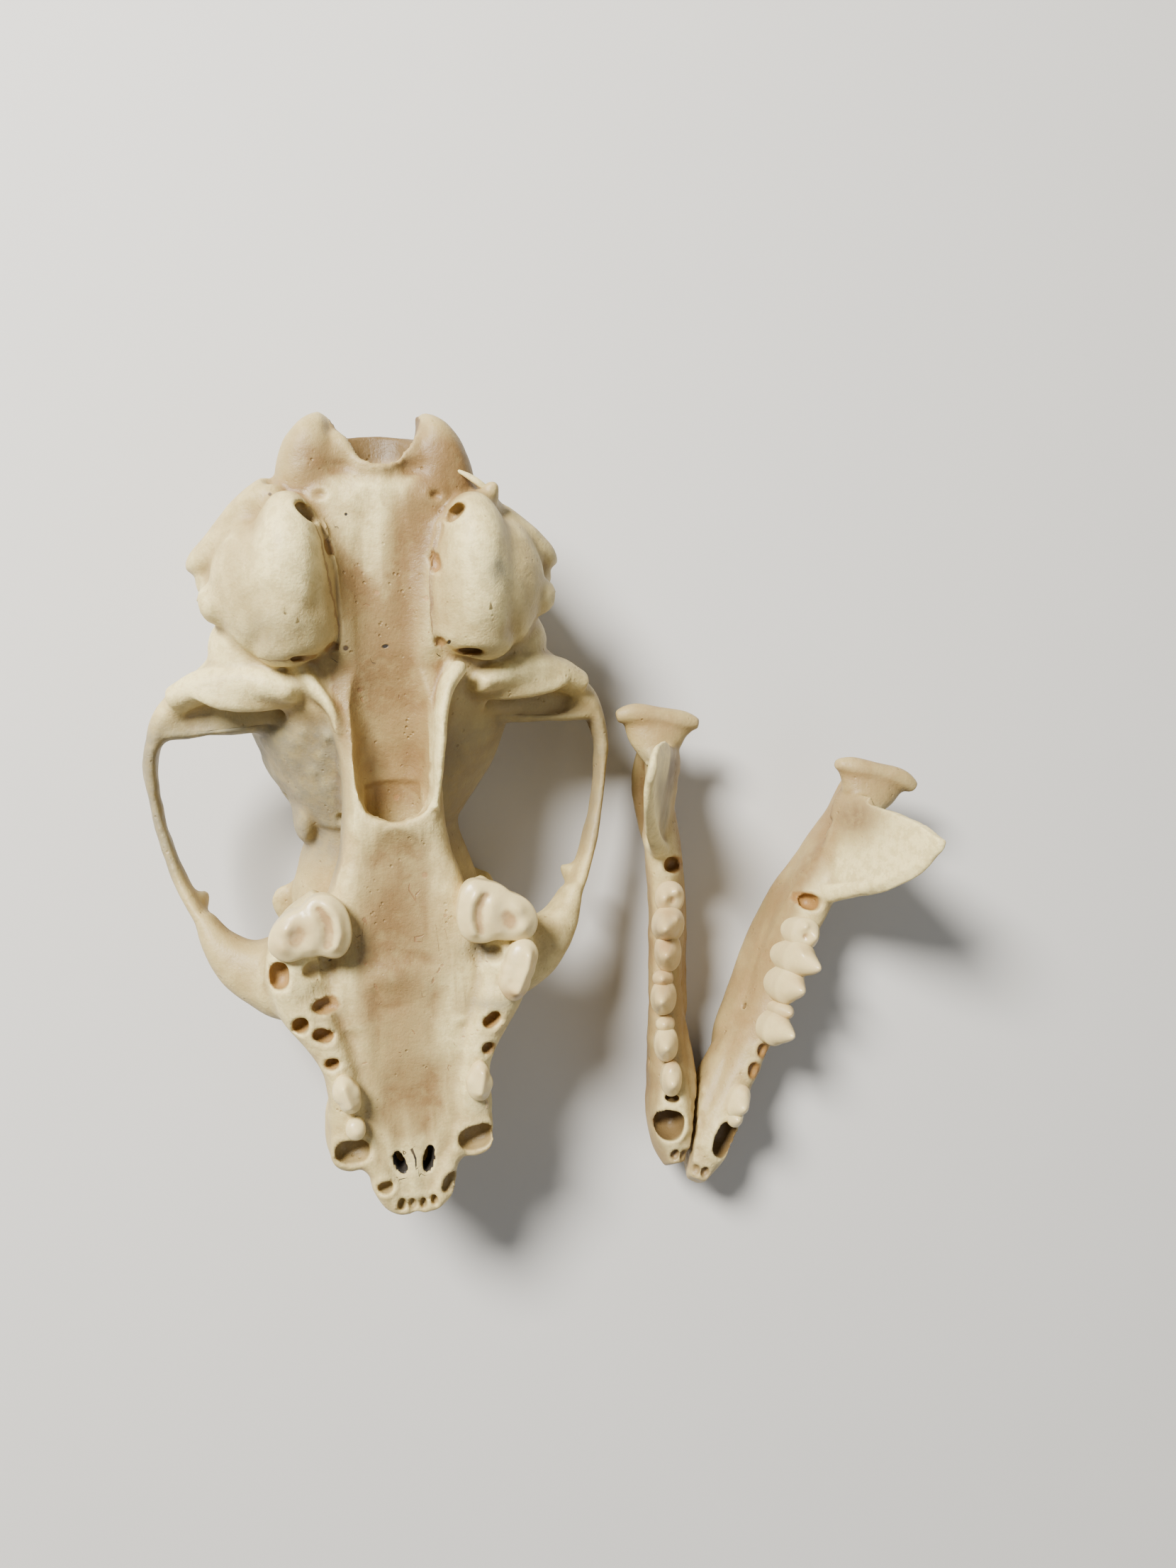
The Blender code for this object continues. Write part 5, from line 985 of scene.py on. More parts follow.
def cranium_marks(p, n, relief):
    """Colour marks of the cranium: stain, chalk, thin grey bone and warmth, as shares from 0 to 1, with painted shade
    and painted highlights among them.
    """
    q = folded(p)
    x, y, low = p[:, 0], p[:, 1], -p[:, 2]
    up = eased(n[:, 2], 0.0, 0.6)
    soft, fine = uneven(p, 5.0, 1.1), uneven(p, 1.6, 4.2)
    masks = {"any": 1.0, "up": up, "deep": up * (low > 4.2), "level": eased(n[:, 2], -0.2, 0.2),
             "front": eased(-n[:, 1], 0.2, 0.8)}
    stain, chalk, grey, warm = (spots(p, masks, MARKS[mark]) + spots(q, masks, MARK_PAIRS[mark]) for mark in MARKS)
    channel = up * (q[:, 0] < 5.4) * between(y, 40.5, 42.0, 53, 60) * eased(low, 1.2, 2.4)
    palate = up * (low < 3.0) * between(y, 10, 14, 38, 41)
    # painted shade inside the opening of the spinal cord, given as stain
    cavity_shade = near(p, (0.0, 80.0, -8.5), (5.4, 5.5, 5.5)) * (q[:, 0] < 4.4) * (1 - eased(-low, -7.2, -5.6))
    stain += 0.60 * channel * (1 + 0.5 * soft) + 0.3 * cavity_shade * (n[:, 2] > -0.4)
    stain += 0.30 * palate * bell(x + 0.8, 3.2) * (0.8 + 0.5 * soft)
    stain += 0.55 * up * within(p, FRONT_PATCH) * (low < 3)
    stain += up * near(p, (0.2, 60.0, -3.0), (4.4, 6.5, 3.0)) * (1 + 0.3 * soft)
    # stain where the relief sinks in is painted shade; the soft noise adds stain at random
    stain += 0.35 * eased(-relief, 0.25, 0.8) * up + 0.15 * np.clip(soft, 0, 1)
    stain += 0.35 * eased(x, 3.4, 5.4) * between(y, 33, 37, 50, 53) * eased(low, 2.5, 5)
    wedge = up * within(p, WHITE_WEDGE, 0.9) * (low < 5.5) * (0.85 + 0.3 * fine)
    stain *= 1 - 0.8 * wedge
    dome = near(q, (8.9, 65.5, 1.5), (3.8, 6.5, 4.0)) * eased(-low, -2.5, 0.5)
    chalk += 0.8 * wedge + dome * np.where(x < 0, 0.95 * eased(y, 58, 66) + 0.1, 0.75)
    chalk += 0.6 * up * bell(beside(p, PALE_EDGE_RIGHT), 0.8)
    chalk += 0.9 * bell(beside(p, PALE_EDGE_LEFT), 0.9) * (low < 3)
    for knob_x, knob_y, _ in WALL_KNOBS[:-1]:
        chalk += 0.2 * up * bell(np.hypot(x - knob_x, (y - knob_y) * 1.3), 0.7) * eased(low, 1.0, 2.5)
    chalk += 0.25 * np.clip(fine + soft - 0.4, 0, 1)
    chalk += 0.22 * palate * eased(x, -0.5, 3.0) * (0.7 + 0.6 * soft) + 0.3 * palate * eased(-x, 3.6, 5.0)
    wall = eased(-x, 3.4, 5.4) * between(y, 33, 37, 49, 52) * eased(low, 2.5, 5.0)
    grey += 0.85 * wall * (0.9 + 0.15 * fine)
    grey += 0.5 * eased(x, 4.0, 6.0) * between(y, 33, 38, 48, 51) * eased(low, 3, 7)
    warm += 0.45 + 0.45 * uneven(p, 8.0, 9.4) + 0.6 * channel + 0.35 * palate
    return stain, chalk, grey, np.clip(warm, 0, 1)


# The lower jaw in its own frame: hills and hollows, ridges and grooves (where, amount, reach, line as y and z),
# swellings of the roots (y), the front edge of its blade, and its colour marks
JAW_RELIEF = {"outer": [(-0.75, 11.6, 40.4, 11.0, 3.0, 4.6, 5.6)],
              "inner": [(-0.25, 10.5, 40.6, 12.5, 3.0, 3.6, 5.0)]}
JAW_RIDGES = [
    ("outer", 0.25, 0.8, [(34.6, 9.0), (36.5, 5.0), (40.0, 3.6), (45.0, 4.4)]),
    ("inner", 0.20, 1.0, [(25.0, 5.6), (33.0, 7.0), (40.0, 8.0), (46.0, 9.4)]),
    ("inner", -0.20, 1.1, [(12.0, 5.0), (20.0, 3.4), (30.0, 3.2), (38.0, 4.0)]),
]
JAW_ROOTS = (10.4, 13.8, 16.6, 18.8, 21.8, 25.0, 29.0)
BLADE_FRONT = [(34.6, 9.0), (35.0, 12.0), (36.2, 15.6), (38.0, 19.4), (40.4, 23.0)]
JAW_MARKS = {
    "stain": {
        "inner": [(0.35, 10.0, 43.6, 13.0, 4.0, 2.2, 5.0), (0.3, 9.0, 37.0, 7.5, 4.0, 4.0, 2.4)],
        "any": [(0.6, 12.8, 47.8, 9.8, 6.0, 2.2, 2.6), (0.3, 8.3, 33.6, 9.2, 1.8, 1.8, 1.4)],
    },
    "chalk": {"up": [(0.4, 7.4, 30.0, 9.0, 2.2, 4.5, 2.5)], "any": [(0.6, 3.0, 6.0, 8.5, 3.0, 4.0, 2.6)]},
    "grey": {"any": [(0.25, 2.0, 2.4, 8.6, 1.6, 1.6, 1.4)]},
    "warm": {"any": [(0.25, 12.8, 48.2, 9.8, 5.0, 1.6, 1.8)]},
}


def jaw_relief(p, n):
    """How far the skin of one half of the lower jaw stands out or in, in its own frame with x outwards."""
    masks = {"outer": eased(n[:, 0], 0.2, 0.8), "inner": eased(-n[:, 0], 0.2, 0.8)}
    out = spots(p, masks, JAW_RELIEF)
    for mask, amount, reach, line in JAW_RIDGES:
        out += amount * masks[mask] * bell(beside(p[:, 1:], line), reach)
    # swellings of the roots on the outer face
    for y in JAW_ROOTS:
        out += 0.10 * masks["outer"] * near(p[:, 1:], (y, 6.6), (0.8, 2.4))
    # front of the chin roughened where the halves meet
    meet = masks["inner"] * (1 - eased(p[:, 1], 10.0, 12.5)) * (p[:, 0] < 1.6)
    return out + meet * 0.12 * uneven(p, 0.7, 5.5)


def jaw_marks(p, n, side):
    """Colour marks of one half of the jaw: stain, chalk, thin grey bone and warmth, with painted shade among them."""
    y, z = p[:, 1], p[:, 2]
    inner = eased(-n[:, 0], 0.1, 0.7)
    masks = {"any": 1.0, "inner": inner, "up": eased(n[:, 2], 0.1, 0.7)}
    stain, chalk, grey, warm = (spots(p, masks, JAW_MARKS[mark]) for mark in JAW_MARKS)
    soft = uneven(p, 5.0, 2.2)
    body = (1 - eased(z, 8.0, 10.0) * eased(y, 33.5, 36.0)) * (1 - eased(z, 7.6, 9.2))
    # Stain of the body, rising towards the back on the left half; heavier all along the right half, where it is partly
    # stain and partly painted shade on that body.
    shade_and_dirt = 0.28 + 0.35 * eased(y, 18.0, 32.0) if side > 0 else 0.6
    neck = near(p, (10.2, 42.6, 11.4), (2.6, 2.6, 3.2))
    stain += 0.12 * np.clip(soft, 0, 1) + shade_and_dirt * body * (1 + 0.4 * soft) + 0.7 * neck
    front = bell(beside(p[:, 1:], BLADE_FRONT), 1.5)
    blade = eased(z, 9.0, 11.0) * between(y, 33.0, 35.0, 43.6, 45.4)
    chalk += 0.95 * blade + 0.6 * front + 0.2 * np.clip(uneven(p, 1.8, 6.1), 0, 1)
    chalk *= 1 - 0.85 * neck
    if side < 0:
        rear = eased(y, 40.5, 43.5) * eased(z, 13.0, 15.0)
        low = between(z, 9.3, 10.5, 13.0, 16.5) * between(y, 33.5, 35.0, 38.0, 40.5)
        # On the right half the blade behind its pale front edge, and a low band of it, get painted shade: less chalk
        # and more grey.
        middle = blade * (1 - front) * (1 - rear)
        chalk = chalk * (1 - 0.5 * middle) * (1 - 0.5 * low) + 0.9 * rear
        stain = (stain + 0.1 * blade * (1 - front)) * (1 - 0.9 * rear)
        grey += 0.55 * middle + 0.25 * low
    else:
        grey += 0.2 * inner * near(p, (10.5, 43.0, 12.0), (4.0, 2.0, 4.0))
    warm += 0.75 + 0.25 * inner - 0.4 * chalk
    return stain, chalk, grey, np.clip(warm, 0, 1)


def pinholes(points, facing, pins):
    """For each point the place inside its nearest pinhole, as shares of the half-sizes, and how brown that one is.
    Points far from every pinhole, or where none shows, keep a far place."""
    rows = np.tile([9.0, 9.0, 0.0], (len(points), 1))
    best = np.full(len(points), 9.0)
    shown = (facing[:, 2] > 0.15) & (points[:, 2] > -9.0)
    for x, y, half_x, half_y, turn, brown in pins:
        dx, dy = points[:, 0] - x, points[:, 1] - y
        u, v = hole_shares(dx, dy, half_x, half_y, turn)
        far = np.hypot(u, v)
        on = shown & (far < best) & (np.hypot(dx, dy) < 1.9)
        best[on] = far[on]
        rows[on] = np.stack([u[on], v[on], np.full(on.sum(), brown)], 1)
    return rows


def hair_lines(points, facing, lines):
    """For each point the signed distance to its nearest hair line, the half-width there, and how pale it is. The
    half-width falls to nothing at a line's ends and away from the line."""
    rows = np.tile([9.0, 0.0, 0.0], (len(points), 1))
    best = np.full(len(points), 1.0)
    for line, width, pale in lines:
        line = np.array(line, float)
        lengths = np.linalg.norm(np.diff(line, axis=0), axis=1)
        run = np.concatenate([[0.0], np.cumsum(lengths)])
        for k, (a, b) in enumerate(zip(line[:-1], line[1:])):
            along = (b - a) / lengths[k]
            away = points[:, :2] - a
            t = away @ along
            inside = np.clip(t, 0.0, lengths[k])
            gap = np.linalg.norm(away - inside[:, None] * along, axis=1)
            side = np.where(away[:, 0] * along[1] - away[:, 1] * along[0] < 0, -1.0, 1.0)
            on = (gap < best) & (facing[:, 2] > -0.2) & (points[:, 2] > -11.0)
            share = (run[k] + inside) / run[-1]
            taper = np.clip(np.minimum(share, 1 - share) * 8, 0.0, 1.0)
            best[on] = gap[on]
            rows[on] = np.stack([(side * gap)[on], (width * taper)[on], np.full(on.sum(), pale)], 1)
    return rows


def marked(obj, stain, chalk, grey, warm, deep, porous, olive, pins=None, lines=None):
    """Stores the marks on the mesh as attributes of its points."""
    for name, rows in (("marks", (stain, chalk, grey, warm)), ("wear", (deep, porous, olive, deep * 0 + 1))):
        layer = obj.data.color_attributes.new(name, "FLOAT_COLOR", "POINT")
        layer.data.foreach_set("color", np.clip(np.stack(rows, 1), 0, 1).astype(np.float32).ravel())
    for name, rows in (("pins", pins), ("lines", lines)):
        if rows is None:
            rows = np.tile([9.0, 9.0 if name == "pins" else 0.0, 0.0], (len(obj.data.vertices), 1))
        layer = obj.data.attributes.new(name, "FLOAT_VECTOR", "POINT")
        layer.data.foreach_set("vector", rows.astype(np.float32).ravel())


def set_down(obj, place, shown_as, material, replaced=()):
    """Turns the finished bone from its own frame, sets it down in metres, and hands it to the frame."""
    (pitch, roll, yaw), spot = PLACES[place]
    turn = (Matrix.Rotation(math.radians(yaw), 4, "Z") @ Matrix.Rotation(math.radians(pitch), 4, "X")
            @ Matrix.Rotation(math.radians(roll), 4, "Y"))
    obj.data.transform(Matrix.Scale(MM, 4) @ Matrix.Translation(spot) @ turn)
    lowest = positions(obj)[:, 2].min()
    if lowest < 0:
        obj.data.transform(Matrix.Translation((0, 0, -lowest)))
    obj.name = obj.data.name = shown_as
    obj.data.materials.clear()
    obj.data.materials.append(material)
    obj.data.shade_smooth()
    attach(obj, "root")
    if replaced:
        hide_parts(*replaced)
    return obj


def joined(objects, name):
    """The closed shells of several objects as one object."""
    points, faces, start = [], [], 0
    for obj in objects:
        rows = positions(obj)
        faces += [[start + v for v in p.vertices] for p in obj.data.polygons]
        points.append(rows)
        start += len(rows)
        bpy.data.objects.remove(obj)
    return made(name, np.concatenate(points), faces)


def oblong(x, y, half_x, half_y, turn=0.0, power=2.2):
    """An outline of 24 points: a rounded oblong about a middle, turned by degrees."""
    c, s = rounded(circle(24, OFF_AXIS), power)
    u, v = turned(half_x * c, half_y * s, turn)
    return list(zip(x + u, y + v))


def crown(name, outline, foot, shoulder, top, bumps=(), around=84, power=2.4):
    """A tooth's crown over an outline. Its rings widen from 0.88 to 1 from the foot to the shoulder and then close
    as a rounded cap. The cap stands out by the bell of the distance to each bump's line: line, reach, height."""
    outline = np.array(outline, float)
    x, y = outline.mean(0)
    dx, dy = outline[:, 0] - x, outline[:, 1] - y
    a = circle(around)
    reach = np.interp(a, np.arctan2(dy, dx), np.hypot(dx, dy), period=2 * math.pi)
    for _ in range(6):
        reach = 0.5 * reach + 0.25 * (np.roll(reach, 1) + np.roll(reach, -1))
    t = np.linspace(0.0, 1.0, 7)[:-1]
    c, s = rounded(np.linspace(0.0, math.pi / 2 - 0.02, 26), power)
    share = np.concatenate([0.88 + 0.12 * np.sin(t * math.pi / 2), c])
    z = np.concatenate([foot + (shoulder - foot) * t, shoulder + (top - shoulder) * s])
    rings = np.stack([x + share[:, None] * reach * np.cos(a), y + share[:, None] * reach * np.sin(a),
                      z[:, None] + 0 * a], -1)
    flat = rings.reshape(-1, 3)
    inner = np.repeat(eased(1 - share, 0.0, 0.4) * (np.arange(len(share)) > 6), around)
    for line, size, height in bumps:
        away = beside(flat, line) if len(line) > 1 else np.hypot(flat[:, 0] - line[0][0], flat[:, 1] - line[0][1])
        flat[:, 2] += height * bell(away, size) * inner
    return skin(name, flat.reshape(rings.shape))


# Crowns: outline, foot, shoulder, top and bumps
MOLAR_RIGHT = [(-12.6, 31.1), (-12.95, 29.3), (-11.3, 27.95), (-9.8, 28.4), (-8.0, 28.5), (-6.2, 27.9), (-5.2, 29.2),
               (-5.1, 31.4), (-5.8, 33.4), (-7.1, 34.3), (-8.6, 34.1), (-9.6, 33.0), (-11.3, 32.4)]
MOLAR_LEFT = [(5.4, 32.0), (5.2, 30.4), (5.8, 28.75), (7.35, 28.2), (8.95, 28.5), (10.5, 28.3), (12.5, 28.1),
              (13.35, 29.7), (12.7, 31.7), (10.7, 32.9), (8.2, 34.3), (7.0, 34.7), (6.0, 34.0)]
MOLAR_BUMPS = [
    ([(6.5, 29.4), (6.05, 30.6), (6.2, 32.4), (7.0, 33.6)], 0.65, 0.6),
    ([(8.5, 32.2), (8.4, 30.6), (9.0, 29.5)], 0.8, 0.22), ([(7.35, 29.7), (7.3, 31.4), (8.0, 32.9)], 0.5, -0.25),
    ([(11.8, 29.5)], 0.95, 0.6), ([(11.3, 31.5)], 0.9, 0.45), ([(10.2, 30.6)], 0.9, -0.2), ([(12.6, 30.3)], 0.6, 0.2),
]
UPPER = [
    (oblong(-5.65, 10.55, 0.98, 1.12), -3.0, 0.0, 0.85, [([(-5.6, 10.5)], 0.5, 0.15)]),
    (oblong(6.95, 11.3, 0.85, 0.9), -3.0, -0.75, -0.35, [([(6.95, 11.3)], 0.4, -0.25)]),
    ([(-7.55, 15.2), (-6.7, 16.3), (-5.5, 15.3), (-5.05, 13.9), (-5.3, 12.5), (-6.3, 12.3), (-7.1, 13.4)],
     -3.0, 0.3, 1.2, [([(-6.7, 15.3), (-6.1, 13.4)], 0.55, 0.65)]),
    ([(7.0, 16.2), (7.8, 14.7), (7.85, 13.0), (7.2, 12.0), (6.0, 12.3), (5.5, 13.6), (5.95, 15.0)],
     -3.0, 0.2, 1.0, [([(7.1, 15.2), (6.7, 13.2)], 0.55, 0.55)]),
    ([(11.1, 28.3), (12.4, 28.2), (13.1, 27.1), (12.75, 25.6), (12.2, 24.2), (11.4, 22.5), (10.4, 21.9), (9.5, 22.7),
      (9.1, 23.6), (9.45, 24.8), (9.85, 26.2), (10.35, 27.5)], -4.0, 0.7, 1.7,
     [([(12.0, 27.3), (11.6, 25.6), (10.6, 23.4)], 0.7, 1.0), ([(10.3, 24.2)], 0.7, -0.2)]),
    (MOLAR_RIGHT, -3.0, 0.35, 1.25,
     [([(-x, y) for x, y in line], size, height) for line, size, height in MOLAR_BUMPS]),
    (MOLAR_LEFT, -3.0, 0.35, 1.25, MOLAR_BUMPS),
]
# The lower teeth in the jaw's own frame
LOWER = {
    "p1": [(oblong(3.85, 8.75, 0.85, 1.05, -6), 6.5, 9.3, 9.9, [([(3.9, 8.7)], 0.6, 0.6)])],
    "p2": [(oblong(3.9, 10.5, 1.15, 1.95, -10), 6.5, 9.3, 10.1,
            [([(3.95, 10.2)], 0.95, 1.35), ([(4.2, 11.8)], 0.5, 0.2)])],
    "p3": [(oblong(5.25, 14.1, 1.35, 1.95, -12), 6.5, 9.4, 10.3, [([(5.3, 14.0)], 1.0, 1.8)]),
           (oblong(5.75, 16.2, 1.1, 0.85, -12), 6.5, 9.3, 10.2, [([(5.8, 16.2)], 0.5, 0.35)])],
    "p4": [(oblong(6.5, 19.0, 1.45, 1.95, -10), 6.5, 9.6, 10.6, [([(6.6, 18.9)], 1.1, 2.6)]),
           (oblong(6.95, 21.0, 1.2, 0.9, -6), 6.5, 9.5, 10.6, [([(7.0, 21.0)], 0.6, 0.7)])],
    "m1": [(oblong(6.95, 23.9, 1.5, 2.2, -14), 6.5, 9.8, 10.9, [([(7.0, 23.7)], 1.1, 2.0)]),
           (oblong(7.5, 26.8, 1.85, 2.0, -6), 6.5, 9.9, 11.0, [([(7.65, 26.5)], 1.2, 3.1), ([(6.4, 27.8)], 0.6, 0.8)]),
           (oblong(7.85, 29.6, 1.65, 1.8, -6), 6.5, 9.6, 10.5,
            [([(8.3, 29.5)], 0.8, 0.8), ([(7.1, 30.5)], 0.6, 0.6), ([(7.6, 29.4)], 0.4, -0.4)])],
}
# The halves of the lower jaw: name, side, node of the solids, and below what stands and what is open in each
JAW_HALVES = (("right", -1, "dentary_right"), ("left", 1, "dentary_left"))
JAW_TEETH = {"right": ["p2", "p3", "p4", "m1"], "left": ["p1", "p2", "p4", "m1"]}
# Worn and stained places of the crowns: x, y, reach across and along, share of brown
WORN_UPPER = [(-10.1, 31.1, 1.3, 1.0, 0.7), (-11.7, 29.7, 0.9, 0.7, 0.4), (9.3, 30.1, 1.2, 0.8, 0.3),
              (-8.0, 32.3, 0.6, 0.8, 0.3), (9.9, 22.9, 1.1, 0.9, 0.8), (11.4, 22.6, 0.8, 0.7, 0.5),
              (6.95, 11.3, 1.0, 1.0, 0.9), (6.8, 15.3, 0.8, 0.8, 0.3)]
WORN_LOWER = [(7.4, 24.6, 1.3, 1.2, 0.45), (6.6, 20.8, 1.4, 1.2, 0.5), (5.2, 16.8, 1.2, 0.6, 0.5),
              (4.4, 12.2, 1.0, 0.6, 0.5), (7.6, 28.0, 1.4, 0.6, 0.3)]
# Holes of the lower jaw by tooth: x, y, half-sizes, depth, floor, turn, slide back with depth
JAW_HOLES = {
    "c": (3.0, 5.45, 1.6, 1.7, 3.2, 9.0, 0, 0.1), "c_left": (3.3, 6.1, 1.4, 2.05, 3.0, 9.2, -8, 0.1),
    "i1": (0.75, 2.3, 0.4, 0.55, 0.6, 8.4, 0, 0.1), "i2": (1.7, 2.3, 0.48, 0.6, 0.7, 8.6, 0, 0.1),
    "m2": (8.25, 33.1, 0.95, 0.9, 2.2, 9.4, 0, 0.0), "p1": (3.3, 8.35, 0.8, 0.45, 1.3, 8.8, 0, 0.0),
    "p3a": (5.6, 13.9, 0.7, 0.9, 1.2, 8.8, 0, 0.0), "p3b": (6.3, 16.2, 0.7, 0.8, 1.2, 8.8, 0, 0.0),
}
# Rear edge of the coronoid plate of the half that lies on its side: y and z outside of it
BLADE_EDGE = [(44.75, 12.6), (44.35, 14.8), (43.5, 20.0), (41.7, 24.9), (41.7, 30.0), (52.0, 30.0), (52.0, 12.6)]
JAW_OPEN = {"right": ["c", "i1", "i2", "p1", "m2"], "left": ["c_left", "i1", "i2", "p3a", "p3b", "m2"]}


def shade_group(name, inputs, outputs):
    """An empty shader node group with its sockets."""
    group = bpy.data.node_groups.new(name, "ShaderNodeTree")
    for label, kind, value in inputs:
        socket = group.interface.new_socket(name=label, in_out="INPUT", socket_type=kind)
        if value is not None:
            socket.default_value = value
    for label, kind in outputs:
        group.interface.new_socket(name=label, in_out="OUTPUT", socket_type=kind)
    return group


class Wiring:
    """Short calls for adding and joining nodes of one tree."""

    def __init__(self, tree):
        self.tree = tree

    def feed(self, socket, value):
        """Joins a socket to another one, or gives it a value."""
        if isinstance(value, bpy.types.NodeSocket):
            self.tree.links.new(value, socket)
        else:
            socket.default_value = value

    def add(self, kind, settings=(), *numbered, **named):
        """A node with its settings, and with its inputs fed in order or by name."""
        node = self.tree.nodes.new(kind)
        for key, value in dict(settings).items():
            setattr(node, key, value)
        for number, value in enumerate(numbered):
            self.feed(node.inputs[number], value)
        for name, value in named.items():
            self.feed(node.inputs[name], value)
        return node

    def attribute(self, name):
        """The outputs of an attribute of the mesh."""
        return self.add("ShaderNodeAttribute", {"attribute_name": name}).outputs

    def math(self, operation, a, b=0.0):
        """One operation on two numbers."""
        return self.add("ShaderNodeMath", {"operation": operation}, a, b).outputs[0]

    def plus(self, a, b):
        """The sum of two numbers."""
        return self.math("ADD", a, b)

    def minus(self, a, b):
        """The first number less the second."""
        return self.math("SUBTRACT", a, b)

    def times(self, a, b):
        """The product of two numbers."""
        return self.math("MULTIPLY", a, b)

    def most(self, a, b):
        """The larger of two numbers."""
        return self.math("MAXIMUM", a, b)

    def blend(self, share, a, b, mode="MIX"):
        """The first colour, with the second over it by its share."""
        node = self.add("ShaderNodeMix", {"data_type": "RGBA", "blend_type": mode})
        for number, value in ((0, share), (6, a), (7, b)):
            self.feed(node.inputs[number], value)
        return node.outputs[2]

    def ramp(self, value, low, high):
        """0 below low, 1 above high and the smooth step between."""
        return self.add("ShaderNodeMapRange", {"interpolation_type": "SMOOTHSTEP"}, value, low, high).outputs[0]

    def noise(self, place, scale, detail=3.0, rough=0.55):
        """Smooth noise from 0 to 1."""
        return self.add("ShaderNodeTexNoise", Vector=place, Scale=scale, Detail=detail, Roughness=rough).outputs[0]


def bone_group():
    """Colour, roughness and height of dry bone from its marks: broad warm and cool patches, fine mottling, pores,
    short hair-fine streaks, the marks of stain, chalk, thin bone and depth, which carry painted shade and painted
    highlights along with the bone's own colour, and pinholes, painted as the shade in them, and hair lines."""
    group = shade_group("dry_bone", [
        ("Place", "NodeSocketVector", None), ("Marks", "NodeSocketColor", None), ("Warm", "NodeSocketFloat", 0.3),
        ("Wear", "NodeSocketColor", None), *[(name.capitalize(), "NodeSocketColor", None) for name in BONE_COLOURS],
        ("Pins", "NodeSocketVector", None), ("Lines", "NodeSocketVector", None)],
        [("Color", "NodeSocketColor"), ("Roughness", "NodeSocketFloat"), ("Height", "NodeSocketFloat")])
    w = Wiring(group)
    given = w.add("NodeGroupInput").outputs
    place = given["Place"]
    stain_mark, chalk_mark, grey_mark = w.add("ShaderNodeSeparateColor", Color=given["Marks"]).outputs
    deep_mark, porous_mark, olive_mark = w.add("ShaderNodeSeparateColor", Color=given["Wear"]).outputs
    broad = w.noise(place, BROAD, 3.0)
    mottle = w.noise(place, MOTTLE, 4.0, 0.6)
    grain = w.noise(place, GRAIN, 3.0, 0.65)
    stretched = w.add("ShaderNodeMapping", Vector=place, Scale=STREAKS).outputs[0]
    streak = w.noise(stretched, 1.0, 3.0, 0.6)
    pores = w.add("ShaderNodeTexVoronoi", {"feature": "F1"}, Vector=place, Scale=PORES).outputs["Distance"]
    # pores show in zones of their own and where the bone is marked as porous, but not on chalk
    zone = w.most(w.ramp(w.noise(place, ZONES, 2.0), 0.52, 0.72), porous_mark)
    zone = w.times(zone, w.minus(1.0, w.times(chalk_mark, 0.9)))
    pore = w.times(w.minus(1.0, w.ramp(pores, 0.08, 0.30)), zone)
    # cream and peach, then chalk, stain and thin grey bone, each broken up by the mottling
    warm = w.times(given["Warm"], w.ramp(broad, 0.25, 0.75))
    colour = w.blend(warm, given["Cream"], given["Peach"])
    chalk = w.times(chalk_mark, w.ramp(w.plus(mottle, w.times(streak, 0.4)), 0.35, 0.75))
    colour = w.blend(w.most(chalk, w.times(chalk_mark, 0.78)), colour, given["Chalk"])
    stain = w.times(stain_mark, w.ramp(w.plus(mottle, w.times(broad, 0.5)), 0.45, 0.85))
    stain = w.plus(w.times(stain_mark, 0.5), w.times(stain, 0.5))
    colour = w.blend(stain, colour, given["Stain"])
    thin = w.plus(w.times(w.ramp(mottle, 0.30, 0.62), 0.4), 0.55)
    colour = w.blend(w.times(grey_mark, thin), colour, given["Grey"])
    tint = w.blend(w.ramp(w.plus(mottle, w.times(grain, 0.5)), 0.45, 1.0), MOTTLE_DARK, MOTTLE_LIGHT)
    colour = w.blend(1.0, colour, tint, "MULTIPLY")
    colour = w.blend(w.times(pore, 0.35), colour, given["Stain"])
    # depth colours: the sockets' own brown and olive, and painted shade where the depth marks the slots and the spinal
    # cord's opening
    colour = w.blend(deep_mark, colour, w.blend(olive_mark, given["Deep"], given["Olive"]))
    # pinholes, painted as the shade in holes, with a wavy edge: across, along and how brown
    across, along, brown = w.add("ShaderNodeSeparateXYZ", Vector=given["Pins"]).outputs
    wave = w.times(w.minus(mottle, 0.5), 1.0)
    away = w.math("SQRT", w.plus(w.times(across, across), w.times(along, along)))
    pin = w.minus(1.0, w.ramp(w.plus(away, w.times(wave, 0.3)), 0.6, 1.25))
    pin = w.times(pin, w.minus(1.0, w.times(brown, 0.55)))
    colour = w.blend(pin, colour, w.blend(brown, PIN_BLACK, PIN_BROWN))
    # hair lines: distance, half-width and how pale
    distance, half_width, pale = w.add("ShaderNodeSeparateXYZ", Vector=given["Lines"]).outputs
    off = w.math("ABSOLUTE", w.plus(distance, w.times(wave, 0.5)))
    crack = w.minus(1.0, w.ramp(w.math("DIVIDE", off, w.most(half_width, 0.0001)), 0.5, 1.8))
    crack = w.times(crack, 0.75)
    colour = w.blend(crack, colour, w.blend(pale, LINE_BROWN, given["Chalk"]))
    rough = w.plus(w.times(mottle, 0.25), w.times(chalk_mark, 0.06))
    rough = w.plus(rough, 0.36)
    height = w.plus(w.times(mottle, 0.5), w.times(grain, 0.18))
    height = w.plus(height, w.times(streak, 0.16))
    height = w.minus(height, w.times(pore, 0.7))
    height = w.minus(height, w.times(w.most(pin, crack), 0.3))
    w.add("NodeGroupOutput", Color=colour, Roughness=rough, Height=height)
    return group


